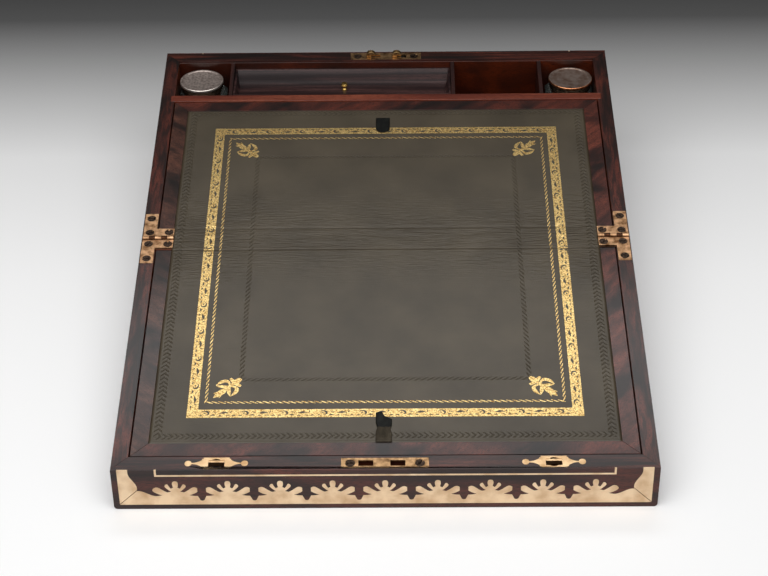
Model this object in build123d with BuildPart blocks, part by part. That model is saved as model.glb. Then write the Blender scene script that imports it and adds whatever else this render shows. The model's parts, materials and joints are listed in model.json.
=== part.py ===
from build123d import *
import os
from math import atan, cos, degrees, sin

# A travelling writing slope of rosewood with brass inlay, drawn open for writing.
# The far half is the base and holds the pens, the ink and the lock. The near half is the lid.
# X runs to the right, Y away from the writer and Z up. The hinge line is over Y = 0.
# Both rims lie in one sloping plane, so most places are given as s, the distance along
# that slope from the hinge line, and n, the height over it.

os.makedirs("parts", exist_ok=True)

# Driving dimensions of the case, in millimetres
box_width = 400.0
half_depth = 250.0  # front to back of each half, measured level
back_height = 106.0  # base, at its far face
near_height = 37.0  # lid, at its near face
side_wall = 12.0
hinge_wall = 12.0
back_wall = 12.6
near_wall = 13.4
board = 8.0  # bottom board and lid panel
face_veneer = 1.2  # on the far and near faces, and the depth of their inlay
rim_veneer = 1.6  # on the far and near rims, and the thickness of their plates
lid_rounding = 3.0  # along the lid's outer edges
halves_gap = 0.2  # between the two halves where they meet at the hinge line
axis_lift = 0.15  # the barrels' axis over the rims

# Flaps of the writing surface
flap_side_gap = 1.0
upper_end_gap = 0.8  # between the upper flap and the rail
lower_end_gap = 1.4  # between the lower flap and the near wall
flap_board = 6.0
surface_drop = 0.8  # the writing surface under the rims
leather = 1.2
fold_leather = 1.0  # the strip over the hinge walls
fold_gap = 0.2  # beside the hinge bars
fold_split = 0.3  # from the hinge line
fold_end_gap = 0.6  # to the flap's leather
banding = 12.4  # width of the crossbanded frame
mitre_line = 0.1
upper_flap_start = 12.7
lower_flap_start = 14.0
flap_pivot_gap = 0.3  # from the flap's edge to the line that its leather folds on
rest_width = 7.0
rest_height = 6.0
seat_gap = 0.05
tab = 1.0
tab_width = 12.5
upper_tab_x = -2.5
upper_tab_length = 20.0
lower_tab_x = -1.0
lower_tab_length = 12.0  # of its flat foot
lower_tab_height = 11.0
tab_rounding = 2.5
tab_bend = 3.0

# Pen section
pen_section = 48.6  # clear, from the rail to the lining
pen_depth = 56.0  # of its floor under the top of the far face
rail_top = 8.38  # width of the rail's top, along the slope
rail_depth = 10.0
rail_housing = 3.2  # length let into each side wall
partition = 6.0
pen_floor_board = 5.0
divider = 3.5
divider_drop = 1.0
lining = 1.0
well_space = 47.5  # width of each inkwell's compartment
tray_space = 195.5

# Pen tray
tray_gap = 0.4
tray_drop = 8.8  # under the top of the far face
tray_height = 15.0
tray_lip = 1.8
scoop_depth = 9.0
scoop_end = 4.0  # length of the rounded end of the scoop
tray_rest = 6.0
knob_offset = 1.8  # right of the tray's middle
knob_radius = 3.1
knob_height = 7.0
knob_peg = 1.2
knob_peg_length = 4.0

# Inkwells
bottle = 43.0
bottle_chamfer = 4.0
bottle_height = 33.0
bottle_wall = 4.5
bottle_play = 0.3  # from the side wall
bottle_back_play = 0.8  # from the lining
bottle_shoulder = 3.0
neck_radius = 15.0
neck_height = 9.0
mouth_radius = 11.0
collar = 1.5
collar_height = 6.5
collar_drop = 0.5  # under the bottle's mouth
collar_grooves = (1.6, 3.6)
collar_groove = 0.6
collar_seat = 0.1
thread_gap = 0.15
cap_radius = 19.5
cap_disc = 2.4
cap_skirt = 1.3
cap_skirt_height = 6.6
cap_dish = 0.4
cap_rim = 1.9
cap_rim_rise = 0.5
cap_edge = 0.4
cap_rings = 3
cap_ring_step = 1.7
cap_ring = 0.45
seal_height = 3.2
seal_gap = 0.2  # over the bottle's mouth
seal_top_gap = 0.15
seal_play = 0.3

# Hinges
leaf = 1.8
bar_reach = 14.0  # of the leaf's bar and the barrel, in from the side wall
leaf_edge = 0.8  # wood left outside the leaf
leaf_bar = 11.6
leaf_leg = 30.0
leaf_leg_width = 10.6
leaf_fit = 0.1
knuckle_radius = 1.9
knuckles = 5
knuckle_gap = 0.15
barrel_clearance = 0.5
pin_radius = 0.9
pin_fit = 0.05
head_radius = 3.6
shank_radius = 1.4
shank_length = 9.0
slot_width = 0.9
slot_depth = 0.7
screw_fit = 0.05
screw_turn = 47.0  # each screw's slot is turned on by this angle
leaf_screws = ((6.0, 24.3), (6.0, 6.9), (21.8, 7.2))  # in from the side face, and s

# Lock on the far rim and its receiver on the near rim
lock_margin = 6.47  # from the plates' middle to the outer edge of the rim, along the slope
lock_plate_length = 64.0
lock_plate_width = 10.0
lock_screws = (-25.5, 25.5)
lock_case_length = 45.0
lock_case_width = 7.6
lock_case_depth = 26.0
hook_centres = (-13.4, 9.95)
hook_width = 8.0
hook_stem = 4.0
hook_thickness = 4.0
hook_rise = 5.6
hook_notch = 2.4
hook_travel = 4.2
hook_shoulder = 3.6
hook_lip = 0.7  # height of the nose's end over its notch
bolt_bar = 4.3
bolt_drop = 2.2  # top of the bolt's bar under the rims
bolt_gap = 0.3
keyhole_blind = 1.5
receiver_slots = (-14.0, 9.35)
receiver_slot = 10.9
receiver_slot_width = 5.4
pocket_margin = 2.0
pocket_depth = 6.0
keyhole_drop = 20.0
keyhole_radius = 2.2
escutcheon_radius = 9.0

# Sockets for the plug-in book ledge
ledge_end = 77.0  # from the socket's middle to the side face
ledge_margin = 6.97  # to the outer edge of the rim, along the slope
ledge_body = 19.0
ledge_body_height = 11.2
ledge_step = 1.1
ledge_waist = (13.6, 1.5)  # a place on the hollow curve between the shoulder and the neck
ledge_neck = (18.2, 0.55)
ledge_ball_x = 20.6
ledge_ball = 2.65
ledge_slot = 11.8
ledge_slot_near = 3.3
ledge_slot_far = 3.0
ledge_bar = 1.8
ledge_bar_sunk = 0.3
ledge_bar_depth = 4.0
ledge_hole = 4.3
mortise_depth = 14.0
mortise_margin = 0.4

# Brass border and line on the far and near faces
fret_rise = 4.2  # wood left under the brass
fret_margin = 4.6  # wood left at each end
fret_band = 8.3
fret_count = 9
fret_space = 28.4  # from the middle of the last spray to the mitre
fret_corner = 13.4  # height and width of the mitred corner
fret_mitre = 0.65  # dark line at the mitres
string_drop = 5.7  # under the near rim
string_width = 1.5
string_end = 32.6  # from the side face

# Places worked out from these
half_width = box_width / 2
inner_x = half_width - side_wall
back_inner = half_depth - back_wall
near_inner = half_depth - near_wall
hinge_height = (back_height + near_height) / 2
tilt = atan((back_height - near_height) / (2 * half_depth))
rim = Plane(origin=(0, 0, hinge_height), x_dir=(1, 0, 0), z_dir=(0, -sin(tilt), cos(tilt)))
near_face = Plane(origin=(0, -half_depth, 0), x_dir=(1, 0, 0), z_dir=(0, -1, 0))
far_face = Plane(origin=(0, half_depth, 0), x_dir=(-1, 0, 0), z_dir=(0, 1, 0))
surface = rim.offset(-surface_drop)
flap_top = rim.offset(-surface_drop - leather)
lining_face = back_inner - lining
pen_floor_top = back_height - pen_depth
tray_top = back_height - tray_drop
SIDES = (("left", -1), ("right", 1))


def level(s, n):
    """Y and Z of the place s along the slope and n over it."""
    return (s * cos(tilt) - n * sin(tilt), hinge_height + s * sin(tilt) + n * cos(tilt))


def along(y):
    """The distance along the slope of the place on the rims over y."""
    return y / cos(tilt)


def rim_height(y):
    """The height of the rims over y."""
    return hinge_height + y * sin(tilt) / cos(tilt)


# The rail's faces, and the middles of the plates of the rims
rail_far = lining_face - pen_section
rail_near = along(rail_far) - rail_top
lock_s = along(half_depth) - lock_margin
ledge_s = along(half_depth) - ledge_margin
ledge_x = half_width - ledge_end

# The barrels' axis, and the places of the knuckles and screws
axis_y, axis_z = level(0, axis_lift)
bar_end = inner_x - bar_reach
barrel_end = half_width - leaf_edge
knuckle_length = (barrel_end - bar_end) / knuckles


def knuckle_starts(first):
    """Inner ends of every second knuckle, counted from the bar's inner end."""
    return [bar_end + knuckle_length * k for k in range(first, knuckles, 2)]


def screw_places(sign):
    """Centres of the hinge screws of one half, on the rim plane."""
    return [(hand * (half_width - x), sign * s) for _, hand in SIDES for x, s in leaf_screws]


# Section of the pen section's rail, whose ends are let into the side walls
rail_profile = (
    level(rail_near, 0),
    (rail_far, rim_height(rail_far)),
    (rail_far, rim_height(rail_far) - rail_depth / cos(tilt)),
    level(rail_near, -rail_depth),
)

# Side walls. Each runs from the hinge line to the mitre at its far or near corner, and is
# let down for the leg of its hinge leaf and round the barrel.

for half, sign, end_inner in (("base", 1, back_inner), ("lid", -1, near_inner)):
    for side, hand in SIDES:
        plan = (
            (hand * half_width, sign * halves_gap / 2),
            (hand * inner_x, sign * halves_gap / 2),
            (hand * inner_x, sign * end_inner),
            (hand * half_width, sign * (half_depth - face_veneer)),
        )
        leg_places = [p for p in screw_places(sign) if p[0] * hand > inner_x]
        with BuildPart() as side_board:
            with BuildSketch(Plane.XY):
                with BuildLine():
                    Polyline(*plan, close=True)
                make_face()
            extrude(amount=back_height)
            split(bisect_by=rim, keep=Keep.BOTTOM)
            with BuildSketch(rim):
                with Locations((hand * (inner_x + barrel_end + leaf_fit) / 2, 0)):
                    Rectangle(barrel_end + leaf_fit - inner_x, 2 * (leaf_leg + leaf_fit))
            extrude(amount=-leaf, mode=Mode.SUBTRACT)
            with BuildSketch(Plane.YZ.offset(hand * bar_end)):
                with Locations((axis_y, axis_z)):
                    Circle(knuckle_radius + barrel_clearance)
            extrude(amount=hand * (barrel_end - bar_end + leaf_fit), mode=Mode.SUBTRACT)
            with BuildSketch(rim):
                with Locations(*leg_places):
                    Circle(shank_radius + screw_fit)
            extrude(amount=-leaf - shank_length, mode=Mode.SUBTRACT)
            if half == "base":
                with BuildSketch(Plane.YZ):
                    with BuildLine():
                        Polyline(*rail_profile, close=True)
                    make_face()
                extrude(amount=inner_x + rail_housing, both=True, mode=Mode.SUBTRACT)
            else:
                outer = side_board.edges().filter_by(Axis.Y).sort_by(Axis.Z)[:2]
                fillet(outer.sort_by(Axis.X)[0 if hand < 0 else -1], lid_rounding)
        side_board.part.label = f"{half}_{side}_wall"
        export_step(side_board.part, f"parts/{half}_{side}_wall.step")

# Hinge walls. The two stand back to back at the hinge line, under the fold of the leather.

for half, sign in (("base", 1), ("lid", -1)):
    bar_places = [p for p in screw_places(sign) if abs(p[0]) < inner_x]
    with BuildPart() as cross_board:
        with BuildSketch(Plane.XY):
            with Locations((0, sign * (hinge_wall / 2 + halves_gap / 4))):
                Rectangle(2 * inner_x, hinge_wall - halves_gap / 2)
        extrude(amount=back_height)
        split(bisect_by=rim.offset(-leaf), keep=Keep.BOTTOM)
        for _, hand in SIDES:
            with BuildSketch(Plane.YZ.offset(hand * (bar_end - leaf_fit))):
                with Locations((axis_y, axis_z)):
                    Circle(knuckle_radius + barrel_clearance)
            extrude(amount=hand * (barrel_end - bar_end), mode=Mode.SUBTRACT)
        with BuildSketch(rim):
            with Locations(*bar_places):
                Circle(shank_radius + screw_fit)
        extrude(amount=-leaf - shank_length, mode=Mode.SUBTRACT)
    cross_board.part.label = f"{half}_hinge_wall"
    export_step(cross_board.part, f"parts/{half}_hinge_wall.step")

# Far wall of the base, with the mortise of the lock and the way to its keyhole

back_plan = (
    (-half_width, half_depth - face_veneer),
    (half_width, half_depth - face_veneer),
    (inner_x, back_inner),
    (-inner_x, back_inner),
)
lock_y = level(lock_s, 0)[0]
keyhole_z = back_height - keyhole_drop
lock_reach = lock_case_width + 2 * bolt_gap

with BuildPart() as base_back_wall:
    with BuildSketch(Plane.XY):
        with BuildLine():
            Polyline(*back_plan, close=True)
        make_face()
    extrude(amount=back_height)
    split(bisect_by=rim.offset(-rim_veneer), keep=Keep.BOTTOM)
    with BuildSketch(Plane.XY.offset(back_height - lock_case_depth - bolt_gap)):
        with Locations((0, lock_y)):
            Rectangle(lock_case_length + 2 * bolt_gap, lock_reach)
    extrude(amount=lock_case_depth, mode=Mode.SUBTRACT)
    with BuildSketch(far_face):
        with Locations((0, keyhole_z)):
            Circle(keyhole_radius + 1)
    extrude(amount=-back_wall / 2, mode=Mode.SUBTRACT)
    with BuildSketch(rim):
        with Locations(*[(x, lock_s) for x in lock_screws]):
            Circle(shank_radius + screw_fit)
    extrude(amount=-leaf - shank_length, mode=Mode.SUBTRACT)
base_back_wall.part.label = "base_back_wall"
export_step(base_back_wall.part, "parts/base_back_wall.step")

with BuildPart() as base_far_rim:
    with BuildSketch(Plane.XY):
        with BuildLine():
            Polyline(*back_plan, close=True)
        make_face()
    extrude(amount=back_height)
    split(bisect_by=rim, keep=Keep.BOTTOM)
    split(bisect_by=rim.offset(-rim_veneer), keep=Keep.TOP)
    with BuildSketch(rim):
        with Locations((0, lock_s)):
            Rectangle(lock_plate_length, lock_plate_width)
    extrude(amount=-rim_veneer, mode=Mode.SUBTRACT)
base_far_rim.part.label = "base_far_rim"
export_step(base_far_rim.part, "parts/base_far_rim.step")

# Near wall of the lid, with the pocket that the lock's hooks drop into and the two
# mortises behind the sockets of the book ledge

near_plan = (
    (-half_width, -half_depth + face_veneer),
    (half_width, -half_depth + face_veneer),
    (inner_x, -near_inner),
    (-inner_x, -near_inner),
)
pocket_middle = sum(receiver_slots) / 2
pocket_length = receiver_slots[1] - receiver_slots[0] + receiver_slot + 2 * pocket_margin
ledge_places = ((-ledge_x, -ledge_s), (ledge_x, -ledge_s))

# The lid's outline seen from the writer, with its two lower corners rounded
with BuildSketch(near_face) as lid_outline:
    with Locations((0, half_depth / 2)):
        Rectangle(box_width, half_depth)
    fillet(lid_outline.vertices().group_by(Axis.Z)[0], lid_rounding)

# The opening of one socket of the book ledge, a slot with a round hole through its middle
with BuildSketch() as socket_slot:
    with Locations((0, (ledge_slot_far - ledge_slot_near) / 2)):
        Rectangle(ledge_slot, ledge_slot_far + ledge_slot_near)
    Circle(ledge_hole)

with BuildPart() as lid_near_wall:
    with BuildSketch(Plane.XY):
        with BuildLine():
            Polyline(*near_plan, close=True)
        make_face()
    extrude(amount=back_height)
    split(bisect_by=rim.offset(-rim_veneer), keep=Keep.BOTTOM)
    extrude(lid_outline.sketch, amount=-near_wall, mode=Mode.INTERSECT)
    with BuildSketch(rim):
        with Locations((pocket_middle, -lock_s)):
            Rectangle(pocket_length, receiver_slot_width + pocket_margin)
    extrude(amount=-rim_veneer - pocket_depth, mode=Mode.SUBTRACT)
    with BuildSketch(rim):
        with Locations(*ledge_places):
            add(socket_slot.sketch)
        offset(amount=mortise_margin)
    extrude(amount=-rim_veneer - mortise_depth, mode=Mode.SUBTRACT)
    with BuildSketch(rim):
        with Locations(*[(x, -lock_s) for x in lock_screws]):
            Circle(shank_radius + screw_fit)
    extrude(amount=-leaf - shank_length, mode=Mode.SUBTRACT)
lid_near_wall.part.label = "lid_near_wall"
export_step(lid_near_wall.part, "parts/lid_near_wall.step")

# Bottom board of the base and panel of the lid

for name, sign, end_inner in (("base_bottom", 1, back_inner), ("lid_panel", -1, near_inner)):
    with BuildPart() as flat_board:
        with BuildSketch(Plane.XY):
            with Locations((0, sign * (end_inner + hinge_wall) / 2)):
                Rectangle(2 * inner_x, end_inner - hinge_wall)
        extrude(amount=board)
    flat_board.part.label = name
    export_step(flat_board.part, f"parts/{name}.step")

# Brass border. Nine sprays rise from a plain band, and a notch with flared shoulders hangs
# between each two. Both ends are mitred against an upright corner piece. Places are given as
# x from the spray's middle, and height over the band's lower edge.

# Left half of a spray, in three curves that meet in cusps
spray_lobe = (
    (-9.9, 9.2),
    (-13.9, 10.8),
    (-16.9, 14.2),
    (-14.4, 16.7),
    (-9.6, 14.2),
    (-6.2, 12.0),
    (-3.2, 12.7),
)
spray_curl = (
    (-3.2, 12.7),
    (-6.3, 15.4),
    (-7.7, 18.2),
    (-6.1, 19.7),
    (-4.6, 17.6),
    (-3.0, 15.6),
    (-1.6, 16.4),
)
spray_finger = ((-1.6, 16.4), (-2.15, 20.3), (0, 22.6))
spray_foot = 7.5
spray_rise = ((-16.0, fret_band), (-12.6, 8.5))  # the band's top on its way to a side lobe
notch_shoulder = (3.2, fret_band)
notch_throat = (1.9, 5.4)
notch_bottom = 3.7
corner_swell = ((5.7, 11.9), (8.8, 10.1), (13.6, fret_band))  # inward from the mitre's tip
corner_edge = ((12.9, 19.6), (11.0, 23.1), (9.0, 26.6), (8.0, 30.4))  # of the upright

fret_end = half_width - fret_margin
mitre_x = fret_end - fret_corner
mitre_z = fret_rise + fret_corner
string_x = half_width - string_end
string_height = near_height - string_drop
fret_pitch = 2 * (mitre_x - fret_space) / (fret_count - 1)
spray_places = [(k - (fret_count - 1) / 2) * fret_pitch for k in range(fret_count)]
notch_places = [x + fret_pitch / 2 for x in spray_places[:-1]]

with BuildSketch() as spray:
    with BuildLine():
        Spline(*spray_lobe, tangents=((-1, 0.2), (1, 0.3)))
        Spline(*spray_curl, tangents=((-1, 0.5), (1, 0.2)))
        Spline(*spray_finger, tangents=((-0.2, 1), (1, 0)))
        Polyline(
            spray_finger[-1], (0, spray_foot), (spray_rise[0][0], spray_foot), spray_rise[0]
        )
        ThreePointArc(*spray_rise, spray_lobe[0])
    make_face()
    mirror(about=Plane.YZ)

with BuildSketch() as notch:
    with BuildLine():
        ThreePointArc(
            (-notch_throat[0], notch_throat[1]), (0, notch_bottom), notch_throat
        )
        Polyline(
            notch_throat,
            notch_shoulder,
            (notch_shoulder[0], 2 * fret_band),
            (-notch_shoulder[0], 2 * fret_band),
            (-notch_shoulder[0], notch_shoulder[1]),
            (-notch_throat[0], notch_throat[1]),
        )
    make_face()

swell = [(mitre_x - dx, fret_rise + h) for dx, h in corner_swell]
swell_back = [(-x, z) for x, z in reversed(swell)]


def border_outline(face):
    """The band with its sprays and notches, on the far or the near face."""
    with BuildSketch(face) as border:
        with BuildLine():
            Polyline(
                (-mitre_x, mitre_z),
                (-fret_end, fret_rise),
                (fret_end, fret_rise),
                (mitre_x, mitre_z),
            )
            Spline((mitre_x, mitre_z), *swell)
            Line(swell[-1], swell_back[0])
            Spline(*swell_back, (-mitre_x, mitre_z))
        make_face()
        with Locations(*[(x, fret_rise) for x in spray_places]):
            add(spray.sketch)
        with Locations(*[(x, fret_rise) for x in notch_places]):
            add(notch.sketch, mode=Mode.SUBTRACT)
    return border


def corner_outline(face, top):
    """The two upright corner pieces, mitred to the band below."""
    with BuildSketch(face) as corners:
        for _, hand in SIDES:
            edge = [(hand * (fret_end - w), fret_rise + h) for w, h in corner_edge]
            with BuildLine():
                Polyline(
                    (edge[-1][0], top),
                    (hand * fret_end, top),
                    (hand * fret_end, fret_rise),
                    (hand * mitre_x, mitre_z),
                )
                Spline((hand * mitre_x, mitre_z), *edge)
                Line(edge[-1], (edge[-1][0], top))
            make_face()
    return corners


def mitre_lines(face):
    """The dark line along each mitre, cut from the foot of the upright pieces."""
    with BuildSketch(face) as lines:
        for _, hand in SIDES:
            with BuildLine():
                Polyline(
                    (hand * (fret_end + fret_mitre), fret_rise - fret_mitre),
                    (hand * (fret_end + fret_mitre), fret_rise),
                    (hand * (mitre_x - fret_mitre), mitre_z + 2 * fret_mitre),
                    (hand * (mitre_x - fret_mitre), mitre_z + fret_mitre),
                    close=True,
                )
            make_face()
    return lines


def string_outline(face):
    """The brass line that frames the panel round the keyhole, open at the rims."""
    upright = string_height + back_height / 2
    with BuildSketch(face) as line:
        with Locations((0, string_height + string_width / 2)):
            Rectangle(2 * string_x + string_width, string_width)
        with Locations((-string_x, upright), (string_x, upright)):
            Rectangle(string_width, back_height)
    return line


# The keyhole's outline, a round eye over a straight slot
with BuildSketch(far_face) as keyhole:
    with Locations((0, keyhole_z)):
        Circle(keyhole_radius)
    with Locations((0, keyhole_z - keyhole_radius * 1.4)):
        Rectangle(keyhole_radius, keyhole_radius * 2.8)

with BuildSketch(far_face) as escutcheon_outline:
    with Locations((0, keyhole_z)):
        Circle(escutcheon_radius)

with BuildSketch(far_face) as base_outline:
    with Locations((0, half_depth / 2)):
        Rectangle(box_width, half_depth)

# Veneer of the far and near faces, and the brass let into it

# The corner pieces of the lid run out at its rim, and those of the base end square as high
for half, face, outline, corner_top in (
    ("base", far_face, base_outline, near_height),
    ("lid", near_face, lid_outline, back_height),
):
    brass_border = border_outline(face)
    brass_corners = corner_outline(face, corner_top)
    mitres = mitre_lines(face)
    brass_string = string_outline(face)

    with BuildPart() as veneer:
        extrude(outline.sketch, amount=-face_veneer)
        split(bisect_by=rim, keep=Keep.BOTTOM)
        extrude(brass_border.sketch, amount=-face_veneer, mode=Mode.SUBTRACT)
        extrude(brass_corners.sketch, amount=-face_veneer, mode=Mode.SUBTRACT)
        extrude(brass_string.sketch, amount=-face_veneer, mode=Mode.SUBTRACT)
        if half == "base":
            extrude(escutcheon_outline.sketch, amount=-face_veneer, mode=Mode.SUBTRACT)
    veneer.part.label = f"{half}_face_veneer"
    export_step(veneer.part, f"parts/{half}_face_veneer.step")

    with BuildPart() as border:
        extrude(brass_corners.sketch, amount=-face_veneer)
        split(bisect_by=rim, keep=Keep.BOTTOM)
        extrude(mitres.sketch, amount=-face_veneer, mode=Mode.SUBTRACT)
        extrude(brass_border.sketch, amount=-face_veneer)
    border.part.label = f"{half}_brass_border"
    export_step(border.part, f"parts/{half}_brass_border.step")

    with BuildPart() as string:
        extrude(brass_string.sketch, amount=-face_veneer)
        split(bisect_by=rim, keep=Keep.BOTTOM)
    string.part.label = f"{half}_brass_string"
    export_step(string.part, f"parts/{half}_brass_string.step")

with BuildPart() as escutcheon:
    extrude(escutcheon_outline.sketch, amount=-face_veneer)
    extrude(keyhole.sketch, amount=-face_veneer, mode=Mode.SUBTRACT)
escutcheon.part.label = "escutcheon"
export_step(escutcheon.part, "parts/escutcheon.step")

# Near rim of the lid: a veneer strip with three brass plates let into it. The hooks of the
# lock pass through the middle one, and the feet of the book ledge plug into the other two.

ledge_half = ledge_body / 2
ledge_top = ledge_body_height / 2
shoulder = (ledge_half + ledge_step, ledge_top - 2 * ledge_step)

# A quarter of the socket plate's outline, mirrored to all four. The stepped body tapers on
# both sides to a neck that ends in a ball.
with BuildSketch() as socket_outline:
    with BuildLine():
        Polyline(
            (0, 0),
            (0, ledge_top),
            (ledge_half, ledge_top),
            (ledge_half, ledge_top - ledge_step),
            (ledge_half + ledge_step, ledge_top - ledge_step),
            shoulder,
        )
        ThreePointArc(shoulder, ledge_waist, ledge_neck)
        Polyline(ledge_neck, (ledge_ball_x, ledge_neck[1]), (ledge_ball_x, 0), (0, 0))
    make_face()
    with Locations((ledge_ball_x, 0)):
        Circle(ledge_ball)
    mirror(about=Plane.YZ)
    mirror(about=Plane.XZ)

with BuildPart() as lid_near_rim:
    with BuildSketch(Plane.XY):
        with BuildLine():
            Polyline(*near_plan, close=True)
        make_face()
    extrude(amount=back_height)
    split(bisect_by=rim, keep=Keep.BOTTOM)
    split(bisect_by=rim.offset(-rim_veneer), keep=Keep.TOP)
    with BuildSketch(rim):
        with Locations((0, -lock_s)):
            Rectangle(lock_plate_length, lock_plate_width)
        with Locations(*ledge_places):
            add(socket_outline.sketch)
    extrude(amount=-rim_veneer, mode=Mode.SUBTRACT)
lid_near_rim.part.label = "lid_near_rim"
export_step(lid_near_rim.part, "parts/lid_near_rim.step")

with BuildPart() as ledge_plates:
    with BuildSketch(rim):
        with Locations(*ledge_places):
            add(socket_outline.sketch)
        with Locations(*ledge_places):
            add(socket_slot.sketch, mode=Mode.SUBTRACT)
    extrude(amount=-rim_veneer)
ledge_plates.part.label = "ledge_plates"
export_step(ledge_plates.part, "parts/ledge_plates.step")

with BuildPart() as ledge_bars:
    with BuildSketch(rim.offset(-ledge_bar_sunk)):
        with Locations(*[(x, s + ledge_slot_far - ledge_bar / 2) for x, s in ledge_places]):
            Rectangle(ledge_slot, ledge_bar)
    extrude(amount=-ledge_bar_depth)
ledge_bars.part.label = "ledge_bars"
export_step(ledge_bars.part, "parts/ledge_bars.step")

# Lock. The bolt is a bar with two hooks, and it slides in a case let into the far wall. Its
# hooks stand through slots in the plate, and engage behind the receiver when it is shot.


def sink_angle(depth):
    """Full angle of a screw's head that is as deep as the plate it holds."""
    return degrees(2 * atan((head_radius - shank_radius) / depth))


def rim_plate(sign, slots, slot_length, slot_width_across):
    """A brass plate of the far or near rim, with its two slots and its two screw holes."""
    with BuildPart(rim) as plate:
        with BuildSketch(rim):
            with Locations((0, sign * lock_s)):
                Rectangle(lock_plate_length, lock_plate_width)
            with Locations(*[(x, sign * lock_s) for x in slots]):
                Rectangle(slot_length, slot_width_across, mode=Mode.SUBTRACT)
        extrude(amount=-rim_veneer)
        with Locations(*[(x, sign * lock_s) for x in lock_screws]):
            CounterSinkHole(
                shank_radius + screw_fit,
                head_radius + screw_fit,
                rim_veneer,
                sink_angle(rim_veneer),
            )
    return plate


lock_slots = [x + hook_travel / 2 for x in hook_centres]
lock_slot = hook_width + hook_travel + 2 * bolt_gap
bolt_start = hook_centres[0] - hook_width / 2
bolt_end = hook_centres[1] + hook_width / 2

lock_plate = rim_plate(1, lock_slots, lock_slot, hook_thickness + 2 * bolt_gap)
lock_plate.part.label = "lock_plate"
export_step(lock_plate.part, "parts/lock_plate.step")

receiver_plate = rim_plate(-1, receiver_slots, receiver_slot, receiver_slot_width)
receiver_plate.part.label = "receiver_plate"
export_step(receiver_plate.part, "parts/receiver_plate.step")

# Across the slope at the lock's middle, with X to the right and n upwards
hook_plane = Plane(
    origin=(0, *level(lock_s, 0)), x_dir=(1, 0, 0), z_dir=(0, -cos(tilt), -sin(tilt))
)

with BuildPart() as lock_bolt:
    with BuildSketch(hook_plane):
        with Locations(((bolt_start + bolt_end) / 2, -bolt_drop - bolt_bar / 2)):
            Rectangle(bolt_end - bolt_start, bolt_bar)
        for centre in hook_centres:
            start = centre - hook_width / 2
            nose = start + hook_width
            with BuildLine():
                Polyline(
                    (nose, hook_notch + hook_lip),
                    (nose, hook_notch),
                    (start + hook_stem, hook_notch),
                    (start + hook_stem, -bolt_drop - bolt_bar / 2),
                    (start, -bolt_drop - bolt_bar / 2),
                    (start, hook_shoulder),
                )
                ThreePointArc(
                    (start, hook_shoulder),
                    (start + hook_width * 0.4, hook_rise),
                    (nose, hook_notch + hook_lip),
                )
            make_face()
    extrude(amount=hook_thickness / 2, both=True)
lock_bolt.part.label = "lock_bolt"
export_step(lock_bolt.part, "parts/lock_bolt.step")

with BuildPart() as lock_case:
    with BuildSketch(Plane.XY.offset(back_height - lock_case_depth)):
        with Locations((0, lock_y)):
            Rectangle(lock_case_length, lock_case_width)
    extrude(amount=lock_case_depth)
    split(bisect_by=rim.offset(-rim_veneer), keep=Keep.BOTTOM)
    with BuildSketch(rim):
        with Locations(((bolt_start + bolt_end + hook_travel) / 2, lock_s)):
            Rectangle(
                bolt_end - bolt_start + hook_travel + 2 * bolt_gap, hook_thickness + 2 * bolt_gap
            )
    extrude(amount=-bolt_drop - bolt_bar - bolt_gap, mode=Mode.SUBTRACT)
    extrude(
        keyhole.sketch.moved(Location((0, lock_y + lock_case_width / 2 - half_depth, 0))),
        amount=-keyhole_blind,
        mode=Mode.SUBTRACT,
    )
lock_case.part.label = "lock_case"
export_step(lock_case.part, "parts/lock_case.step")

# Hinges. Each leaf is an L let into a hinge wall and a side wall, and its knuckles turn on a
# pin along the hinge line.

for half, sign, first in (("base", 1, 0), ("lid", -1, 1)):
    with BuildPart(rim) as leaves:
        for _, hand in SIDES:
            with BuildSketch(rim):
                with BuildLine():
                    Polyline(
                        (hand * bar_end, 0),
                        (hand * bar_end, sign * leaf_bar),
                        (hand * (barrel_end - leaf_leg_width), sign * leaf_bar),
                        (hand * (barrel_end - leaf_leg_width), sign * leaf_leg),
                        (hand * barrel_end, sign * leaf_leg),
                        (hand * barrel_end, 0),
                        close=True,
                    )
                make_face()
            extrude(amount=-leaf)
            for start in knuckle_starts(1 - first):
                with BuildSketch(Plane.YZ.offset(hand * start)):
                    with Locations((axis_y, axis_z)):
                        Circle(knuckle_radius + barrel_clearance)
                extrude(amount=hand * knuckle_length, mode=Mode.SUBTRACT)
            for start in knuckle_starts(first):
                with BuildSketch(Plane.YZ.offset(hand * (start + knuckle_gap / 2))):
                    with Locations((axis_y, axis_z)):
                        Circle(knuckle_radius)
                extrude(amount=hand * (knuckle_length - knuckle_gap))
            with BuildSketch(Plane.YZ.offset(hand * bar_end)):
                with Locations((axis_y, axis_z)):
                    Circle(pin_radius + pin_fit)
            extrude(amount=hand * (barrel_end - bar_end), mode=Mode.SUBTRACT)
        with Locations(*screw_places(sign)):
            CounterSinkHole(
                shank_radius + screw_fit, head_radius + screw_fit, leaf, sink_angle(leaf)
            )
    leaves.part.label = f"{half}_hinge_leaves"
    export_step(leaves.part, f"parts/{half}_hinge_leaves.step")

with BuildPart() as hinge_pins:
    for _, hand in SIDES:
        with BuildSketch(Plane.YZ.offset(hand * (bar_end + knuckle_gap))):
            with Locations((axis_y, axis_z)):
                Circle(pin_radius)
        extrude(amount=hand * (barrel_end - bar_end - 2 * knuckle_gap))
hinge_pins.part.label = "hinge_pins"
export_step(hinge_pins.part, "parts/hinge_pins.step")

# Screws of the hinge leaves and of the two lock plates


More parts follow.
